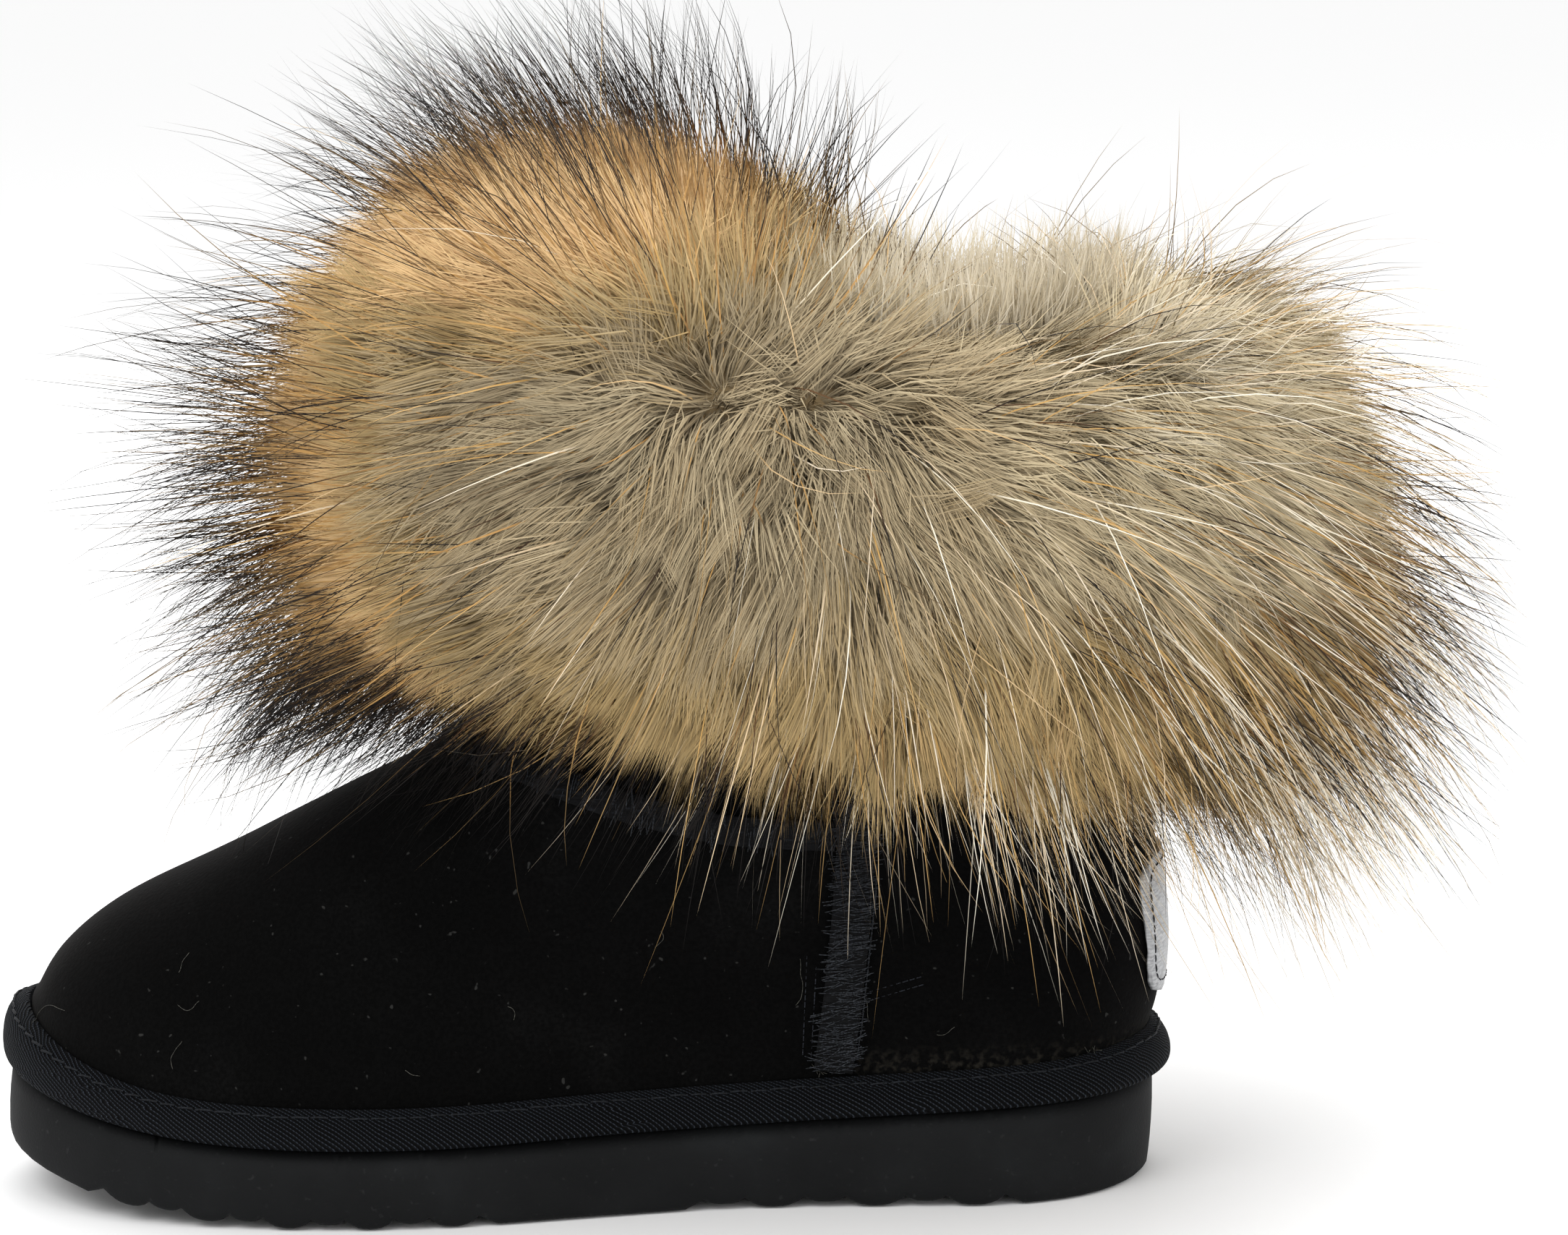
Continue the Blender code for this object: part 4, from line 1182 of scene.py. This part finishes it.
# %% [markdown]
# ## The fur cuff: which way it lies
# Fur fans out from whirls, as on a scalp. This pelt has four close together high on each side
# and one near the back. Each hair leaves the nearest whirl, lifts off the skin and droops.
# The direction is a sum over the whirls, weighted by nearness. Hairs also draw together into
# locks, each towards the path of the lock's own middle, and that gives the soft streaks.

# %% Flow of the hair
random = np.random.default_rng(7)
# A whirl's parting is about this wide, and its disorder reaches about this far, in mm
WHIRL_CORE, WHIRL_REACH = 14.0, 22.0
# Each row: a whirl's place in mm and its strength; each has a twin on the other side
WHIRL_PAIRS = (
    ((-46.0, -84.0, 204.0), 0.24),
    ((-30.0, -84.0, 211.0), 0.36),
    ((-13.0, -88.0, 197.0), 0.36),
    ((5.0, -87.0, 206.0), 0.22),
    ((70.0, -40.0, 214.0), 0.22),
)
WHIRLS = [((x, y * turn, z), share) for (x, y, z), share in WHIRL_PAIRS for turn in (1, -1)]
WAVES = random.normal(0.0, 1.0, (9, 3)) / np.array([34.0, 18.0, 9.0] * 3)[:, None]
WAVE_TURNS = random.uniform(0.0, 2 * math.pi, (9, 3))


def drift(points):
    """Return a smooth random push, so that the hair lies in uneven streaks."""
    total = np.zeros_like(points)
    for wave, turn in zip(WAVES, WAVE_TURNS):
        total += np.sin((points / MM) @ wave[:, None] + turn[None, :])
    return total / 3.0


def near_whirl(points):
    """Return 1 at a whirl's middle, falling to almost 0 some 40 mm away."""
    away = [np.linalg.norm(points / MM - np.array(place), axis=1) for place, _ in WHIRLS]
    return np.exp(-((np.min(away, axis=0) / WHIRL_REACH) ** 2))


def flow_at(points, normals):
    """Return the way the hair lies: away from the whirls, along the skin."""
    total = np.zeros_like(points)
    for place, strength in WHIRLS:
        away = points / MM - np.array(place)
        distance = np.linalg.norm(away, axis=1, keepdims=True)
        total += strength * away / distance / (distance + WHIRL_CORE) ** 2 * 1e3
    total = unit(total) + drift(points) * 0.3
    total = total + drift(points * 5.0) * (0.16 + near_whirl(points)[:, None])
    along = (total * normals).sum(axis=1, keepdims=True)
    return unit(total - normals * np.where(along < 0, along, along * 0.6))


def pick_roots(count, weight=None, grid=ROLL, grid_facing=ROLL_NORMALS):
    """Return even random places on a grid: points and normals."""
    a, b = grid, np.roll(grid, -1, axis=0)
    c = grid[:, 1:]
    area = np.linalg.norm(np.cross(b[:, :-1] - a[:, :-1], c - a[:, :-1]), axis=2)
    if weight is not None:
        area = area * weight(a[:, :-1] / MM)
    chance = (area / area.sum()).ravel()
    cell = random.choice(len(chance), size=count, p=chance)
    turn, rise = np.divmod(cell, grid.shape[1] - 1)
    u, v = random.random((2, count, 1))
    after = (turn + 1) % TURNS

    def blend(rows):
        """Return the values between the four corners of each chosen cell."""
        low = rows[turn, rise] * (1 - u) + rows[after, rise] * u
        high = rows[turn, rise + 1] * (1 - u) + rows[after, rise + 1] * u
        return low * (1 - v) + high * v

    return blend(grid), unit(blend(grid_facing))


# %% [markdown]
# ## Hair as ribbons
# A hair here is a flat ribbon that tapers to a point, because a quarter of a million round
# ones would be too heavy. Its path starts steep and bends over into the flow, it is drawn
# towards its lock, and it is shortened where it would leave the space kept for fur. All
# ribbons of a piece are built at once, as rows of numbers. Their normals are those of the
# skin below, so that light falls on them as on one soft body.

# %% Hair as tapering ribbons
GRAVITY = np.array([0.0, 0.0, -1.0])
# A lock draws hairs from about this far away, in mm
LOCK_REACH = 10.0
# The width of a ribbon at each step, as a share of its full width
TAPER = np.array([0.75, 1.0, 0.85, 0.6, 0.4])
# The space that fur may fill
ALLOWED_LOW = np.array([-226.0, -116.0, 30.0]) * MM
ALLOWED_HIGH = np.array([154.0, 116.0, 286.0]) * MM


def hair_paths(roots, normals, lengths, lift, droop, wander, steps):
    """Return each hair's path, from a steep start to a lying tip."""
    flow = flow_at(roots, normals)
    stray = random.normal(0.0, 1.0, roots.shape) * wander
    stray = stray * random.uniform(0.4, 1.9, (len(roots), 1))
    lift = lift + 0.35 * near_whirl(roots)
    start = unit(flow * np.cos(lift)[:, None] + normals * np.sin(lift)[:, None] + stray * 0.5)
    end = unit(flow + normals * 0.22 + GRAVITY * droop + stray)
    path = [roots]
    for step in range(steps):
        share = (step + 0.5) / steps
        heading = unit(start * (1 - share) + end * share)
        path.append(path[-1] + heading * (lengths / steps)[:, None])
    return np.stack(path, axis=1)


def find_locks(roots, centres):
    """Return the number of each root's nearest lock, and how far away it is."""
    tree = KDTree(len(centres))
    for number, spot in enumerate(centres[:, 0]):
        tree.insert(spot, number)
    tree.balance()
    found = [tree.find(spot)[1:] for spot in roots]
    return np.array([number for number, _ in found]), np.array([distance for _, distance in found])


def draw_together(paths, centres, strength, nearest, away):
    """Pull every hair towards the path of its lock's middle, most at the tip."""
    pull = strength[nearest] * np.exp(-((away / (LOCK_REACH * MM)) ** 2))
    share = np.linspace(0.0, 1.0, paths.shape[1])[None, :, None] ** 1.1
    return paths + (centres[nearest] - paths) * share * pull[:, None, None]


def keep_inside(paths):
    """Shorten a hair that would leave the space the fur may fill."""
    root = paths[:, :1]
    reach = paths - root
    room = np.where(reach > 0, ALLOWED_HIGH - root, root - ALLOWED_LOW)
    share = np.min(room / np.maximum(np.abs(reach), 1e-9), axis=(1, 2))
    return root + reach * np.clip(share, 0.05, 1.0)[:, None, None]


def ribbons(name, paths, normals, widths, twist, codes, material):
    """Make one fur piece of ribbons; codes are each hair's tone and its map at root and tip."""
    count, stations = paths.shape[:2]
    steps = stations - 1
    heading = unit(np.gradient(paths, axis=1))
    facing = normals[:, None, :]
    side = unit(np.cross(heading, facing))
    turned = side * np.cos(twist)[:, None, None] + facing * np.sin(twist)[:, None, None]
    half = turned[:, :steps] * (widths / 2)[:, None, None] * TAPER[None, :steps, None]
    left, right = paths[:, :steps] - half, paths[:, :steps] + half
    body = np.stack([left, right], axis=2).reshape(count, steps * 2, 3)
    points = np.concatenate([body, paths[:, -1:]], axis=1).reshape(-1, 3)
    per_hair = steps * 2 + 1
    quads = [(2 * k, 2 * k + 1, 2 * k + 3, 2 * k + 2) for k in range(steps - 1)]
    corners = np.array([c for quad in quads for c in quad] + [per_hair - 3, per_hair - 2, per_hair - 1])
    loops = (np.arange(count)[:, None] * per_hair + corners[None, :]).ravel()
    sizes = np.tile(np.array([4] * (steps - 1) + [3]), count)
    mesh = bpy.data.meshes.new(name)
    mesh.vertices.add(len(points))
    mesh.vertices.foreach_set("co", points.ravel())
    mesh.loops.add(len(loops))
    mesh.loops.foreach_set("vertex_index", loops)
    mesh.polygons.add(len(sizes))
    mesh.polygons.foreach_set("loop_start", np.concatenate([[0], np.cumsum(sizes)[:-1]]))
    mesh.update(calc_edges=True)
    share = np.append(np.repeat(np.arange(steps) / steps, 2), 1.0)[corners]
    tone = np.repeat(codes[:, 0], len(corners))
    height = (codes[:, 1:2] + (codes[:, 2:3] - codes[:, 1:2]) * share[None, :]).ravel()
    layer = mesh.uv_layers.new(name="OFBake")
    layer.data.foreach_set("uv", np.clip(np.stack([tone, height], axis=1), 0.01, 0.99).ravel())
    mesh.shade_smooth()
    mesh.normals_split_custom_set_from_vertices(np.repeat(normals, per_hair, axis=0).tolist())
    stand_for(link_mesh(name, mesh, material), "fur")
    print(name, count, "hairs,", int((sizes - 2).sum()), "triangles")


# %% [markdown]
# ## Fur colours
# A pelt hair changes colour along its length: grey-brown at the root, pale or golden in the
# middle and sometimes black at the tip. So the piece's own map holds two numbers for each
# hair: across is the tone, from cream by taupe and olive to gold, and up is the place from
# root to tip. Two colour ramps read the tone, and the height mixes them.

# %% Fur materials


def fur_material(name, root_stops, tip_stops, middle):
    """Hair: rough, with a weak broad gloss; tone across and root to tip up the map."""
    made, tree = new_material(name)
    measure = add_node(tree, "ShaderNodeUVMap", {"uv_map": "OFBake"})
    tone, up, _ = add_node(tree, "ShaderNodeSeparateXYZ", {"Vector": measure}, None)
    rise = fade(tree, up, *middle, soft=True)
    colour = mix(tree, "MIX", rise, ramp(tree, tone, root_stops), ramp(tree, tone, tip_stops))
    return dress(made, {"Base Color": colour, "Roughness": 0.7, "Specular IOR Level": 0.25})


def stops(places, *shades):
    """Pair the places of a ramp with its colours."""
    return list(zip(places, shades))


UNDERFUR_TONES = (0.0, 0.25, 0.45, 0.65, 0.85, 1.0)
UNDERFUR = fur_material(
    "raccoon underfur",
    stops(UNDERFUR_TONES, "#B8AA92", "#8E8066", "#75674F", "#7F6B44", "#9E7E50", "#B08E5C"),
    stops(UNDERFUR_TONES, "#EFE6D2", "#CEBE9B", "#B3A07E", "#B09665", "#E2BD88", "#EFCB96"),
    (0.0, 0.8),
)
GUARD_TONES = (0.0, 0.3, 0.6, 0.8, 1.0)
GUARD_HAIR = fur_material(
    "raccoon guard hair",
    stops(GUARD_TONES, "#EDE3CC", "#C49A58", "#C2965A", "#6B4A28", "#1C1613"),
    stops(GUARD_TONES, "#F5EEDD", "#C9A46A", "#17110E", "#17110E", "#120E0C"),
    (0.35, 0.62),
)


def smooth_step(low, high, value):
    """Rise softly from 0 to 1 between two values."""
    share = np.clip((value - low) / (high - low), 0.0, 1.0)
    return share * share * (3 - 2 * share)


def tone_at(points):
    """Return the fur's tone where it grows: cream 0, taupe 0.45, olive 0.65, gold 1."""
    # Each zone of the pelt fades in between two places, in mm along or up the boot
    x, z = points[:, 0] / MM, points[:, 2] / MM
    front = smooth_step(-66.0, -108.0, x + 0.35 * (z - 165.0))
    hump = smooth_step(190.0, 218.0, z) * smooth_step(0.0, -40.0, x)
    low = smooth_step(172.0, 132.0, z - 0.05 * x)
    back = smooth_step(10.0, 60.0, x)
    tone = 0.42 - 0.18 * back - 0.12 * near_whirl(points)
    tone = tone + (0.66 - tone) * low
    gold = np.maximum(front * 0.95, hump)
    return tone + (0.9 - tone) * gold


# %% [markdown]
# ## The underfur
# Most of a pelt is underfur: short, fine, and so dense that no skin shows. It grows from even
# random roots in four pieces, since one would be too big. Every hair takes the tone of its
# place, and the length, the tone and the paleness of its lock. The paleness of the locks is
# partly the pelt's streaks and partly painted light: pale puffs, and dark clefts between locks
# as painted shade, most in the middle of the side.

# %% Grow the underfur
UNDERFUR_COUNT = 210_000
LOCK_COUNT = 2_600
UNDERFUR_PIECES = 4
LOCK_LENGTH = 25.0
FIRST_LIFT = 0.85
UNDERFUR_DROOP = 0.12


def root_glow(points):
    """Return how much paler the roots look: at the whirls, over the hump and at the back top."""
    x, z = points[:, 0] / MM, points[:, 2] / MM
    hump = smooth_step(190.0, 222.0, z) * smooth_step(0.0, -40.0, x)
    back = smooth_step(20.0, 70.0, x) * smooth_step(150.0, 190.0, z)
    return 0.28 * near_whirl(points) + 0.26 * hump + 0.24 * back


def fur_depth(points):
    """Return how deep the underfur is, as a share: short at the toe side, deep at the back top."""
    x, z = points[:, 0] / MM, points[:, 2] / MM
    back = smooth_step(20.0, 60.0, x) * smooth_step(178.0, 200.0, z)
    return 1.0 - 0.3 * smooth_step(-70.0, -110.0, x) + 0.4 * back


def grow_underfur():
    """Grow the dense fur in a few pieces."""
    locks, lock_normals = pick_roots(LOCK_COUNT)
    lift = np.full(LOCK_COUNT, FIRST_LIFT)
    lock_length = np.clip(random.normal(1.0, 0.2, LOCK_COUNT), 0.6, 1.4)
    reach = LOCK_LENGTH * MM * lock_length
    lock_paths = hair_paths(locks, lock_normals, reach, lift, UNDERFUR_DROOP, 0.34, 2)
    lock_pull = random.uniform(0.2, 0.8, LOCK_COUNT)
    lock_tone = random.normal(0.0, 0.04, LOCK_COUNT)
    lock_root = np.clip(random.normal(0.1, 0.12, LOCK_COUNT), 0.0, 0.4)
    # A lock's tip paleness is partly the pelt's own streaks and partly painted light: pale puffs and
    # dark clefts between locks.
    streaks_and_cleft_shade = drift(locks * 1.6)[:, 0] + 0.5 * random.normal(0.0, 1.0, LOCK_COUNT)
    lock_tip = np.clip(0.86 + 0.16 * streaks_and_cleft_shade, 0.4, 1.0)
    # In the middle of the side some locks get darker tips still, as painted shade in the clefts.
    middle = smooth_step(-105.0, -70.0, locks[:, 0] / MM)
    middle = middle * smooth_step(222.0, 200.0, locks[:, 2] / MM)
    lock_tip = np.clip(lock_tip - 0.14 * middle * np.maximum(-streaks_and_cleft_shade, 0.0), 0.3, 1.0)
    count = UNDERFUR_COUNT // UNDERFUR_PIECES
    for number in range(UNDERFUR_PIECES):
        roots, normals = pick_roots(count)
        lock, away = find_locks(roots, lock_paths)
        lengths = random.uniform(17.0, 29.0, count) * MM * fur_depth(roots) * lock_length[lock]
        lift = random.normal(FIRST_LIFT, 0.2, count)
        paths = hair_paths(roots, normals, lengths, lift, UNDERFUR_DROOP, 0.28, 2)
        paths = draw_together(paths, lock_paths, lock_pull, lock, away)
        tone = tone_at(roots) + lock_tone[lock] + random.normal(0.0, 0.035, count)
        root = lock_root[lock] * random.uniform(0.4, 1.0, count) + root_glow(roots)
        codes = np.stack([tone, root, lock_tip[lock] * random.uniform(0.85, 1.0, count)], axis=1)
        widths = random.uniform(0.28, 0.46, count) * MM
        twist = random.normal(0.0, 0.6, count)
        name = "underfur_%d" % (number + 1)
        ribbons(name, keep_inside(paths), normals, widths, twist, codes, UNDERFUR)


grow_underfur()

# %% [markdown]
# ## Fluff at the collar
# Round the mouth the fur stands up instead of lying down: golden at the toe side and cream
# at the back. It grows from the inner wall, above the rim of the suede.

# %% Grow the fluff at the collar
FLUFF_COUNT = 26_000


def grow_collar_fluff():
    """Grow the pale fluff that stands up round the collar's mouth."""
    count = FLUFF_COUNT
    roots, normals = pick_roots(count, None, WALL, WALL_NORMALS)
    up = np.array([0.0, 0.0, 1.0])
    back = smooth_step(-40.0, 0.0, roots[:, 0] / MM)
    lengths = random.uniform(14.0, 27.0, count) * MM * (1 + 0.35 * back)
    stray = random.normal(0.0, 0.28, roots.shape)
    start = unit(up * 0.8 + normals * 0.45 + stray)
    end = unit(up - normals * 0.1 + stray)
    first = roots + start * (lengths / 2)[:, None]
    paths = np.stack([roots, first, first + end * (lengths / 2)[:, None]], axis=1)
    tone = 0.9 + (0.07 - 0.9) * back + random.normal(0.0, 0.06, count)
    root = random.uniform(0.0, 0.3, count)
    codes = np.stack([tone, root, random.uniform(0.8, 1.0, count)], axis=1)
    widths = random.uniform(0.30, 0.46, count) * MM
    twist = random.normal(0.0, 0.6, count)
    ribbons("collar_fluff", keep_inside(paths), normals, widths, twist, codes, UNDERFUR)


grow_collar_fluff()

# %% [markdown]
# ## Guard hairs
# Longer, stiffer hairs stand through the underfur. At the toe side and over the hump their
# tips are black, along the belly and the back they are cream or golden, and over the vamp
# hangs a fringe of near-black ones. They draw together into tufts of about a dozen, as wet or
# brushed hair does. Each patch is a row of a table.

# %% Grow the guard hairs
# Rows: count, centre and radii of the patch in mm, shortest and longest, tone, spread, droop
GUARD_PATCHES = (
    (1350, (-118, 0, 155), (42, 110, 50), 46, 88, 0.60, 0.05, 0.08),
    (400, (-80, 0, 225), (36, 90, 26), 40, 70, 0.62, 0.06, -0.10),
    (1000, (-32, 0, 226), (34, 90, 24), 44, 78, 0.64, 0.06, -0.35),
    (1400, (-96, 0, 118), (32, 110, 16), 36, 66, 0.90, 0.06, 0.35),
    (650, (-52, 0, 112), (34, 110, 14), 34, 60, 0.86, 0.06, 0.75),
    (600, (34, 0, 120), (48, 130, 22), 36, 66, 0.14, 0.14, 0.60),
    (700, (85, 0, 120), (45, 130, 24), 54, 88, 0.16, 0.14, 0.90),
    (320, (112, 0, 150), (30, 110, 40), 60, 96, 0.36, 0.26, 0.15),
    (300, (40, 0, 160), (80, 130, 40), 40, 70, 0.92, 0.06, 0.25),
    (450, (84, 0, 142), (46, 120, 26), 54, 86, 0.78, 0.12, 0.05),
    (400, (-88, 0, 170), (40, 110, 50), 40, 62, 0.94, 0.05, 0.20),
    (700, (60, 0, 125), (70, 130, 28), 40, 66, 0.72, 0.16, 0.45),
    (850, (48, 0, 170), (84, 130, 60), 44, 78, 0.16, 0.14, 0.20),
    (800, (90, 0, 150), (50, 120, 60), 44, 72, 0.30, 0.30, 0.15),
    (300, (-50, 0, 185), (70, 130, 50), 40, 70, 0.46, 0.10, 0.15),
    (400, (70, 0, 205), (40, 70, 30), 34, 52, 0.20, 0.16, -0.40),
)
GUARDS_IN_TUFT = 11


def grow_guards():
    """Grow the long hairs of every patch as one piece."""
    grown = []
    for count, centre, radii, shortest, longest, tone, spread, droop in GUARD_PATCHES:

        def near(points, centre=centre, radii=radii):
            """Return how likely a hair of this patch grows at each place."""
            away = (points - np.array(centre)) / np.array(radii)
            return np.exp(-(away**2).sum(axis=2) * 1.5)

        roots, normals = pick_roots(count, near)
        lengths = random.uniform(shortest, longest, count) * MM
        lift = random.normal(0.75, 0.2, count)
        paths = hair_paths(roots, normals, lengths, lift, droop, 0.26, 5)
        tufts = paths[: count // GUARDS_IN_TUFT]
        tuft, away = find_locks(roots, tufts)
        paths = draw_together(paths, tufts, random.uniform(0.4, 0.95, len(tufts)), tuft, away)
        tones = np.clip(random.normal(tone, spread, count), 0.0, 1.0)
        codes = np.stack([tones, random.uniform(0.0, 0.15, count), np.ones(count)], axis=1)
        widths = random.uniform(0.28, 0.45, count) * MM
        grown.append((keep_inside(paths), normals, widths, codes))
    paths, normals, widths, codes = (np.concatenate(column) for column in zip(*grown))
    twist = random.uniform(-1.2, 1.2, len(paths))
    ribbons("guard_hairs", paths, normals, widths, twist, codes, GUARD_HAIR)


grow_guards()
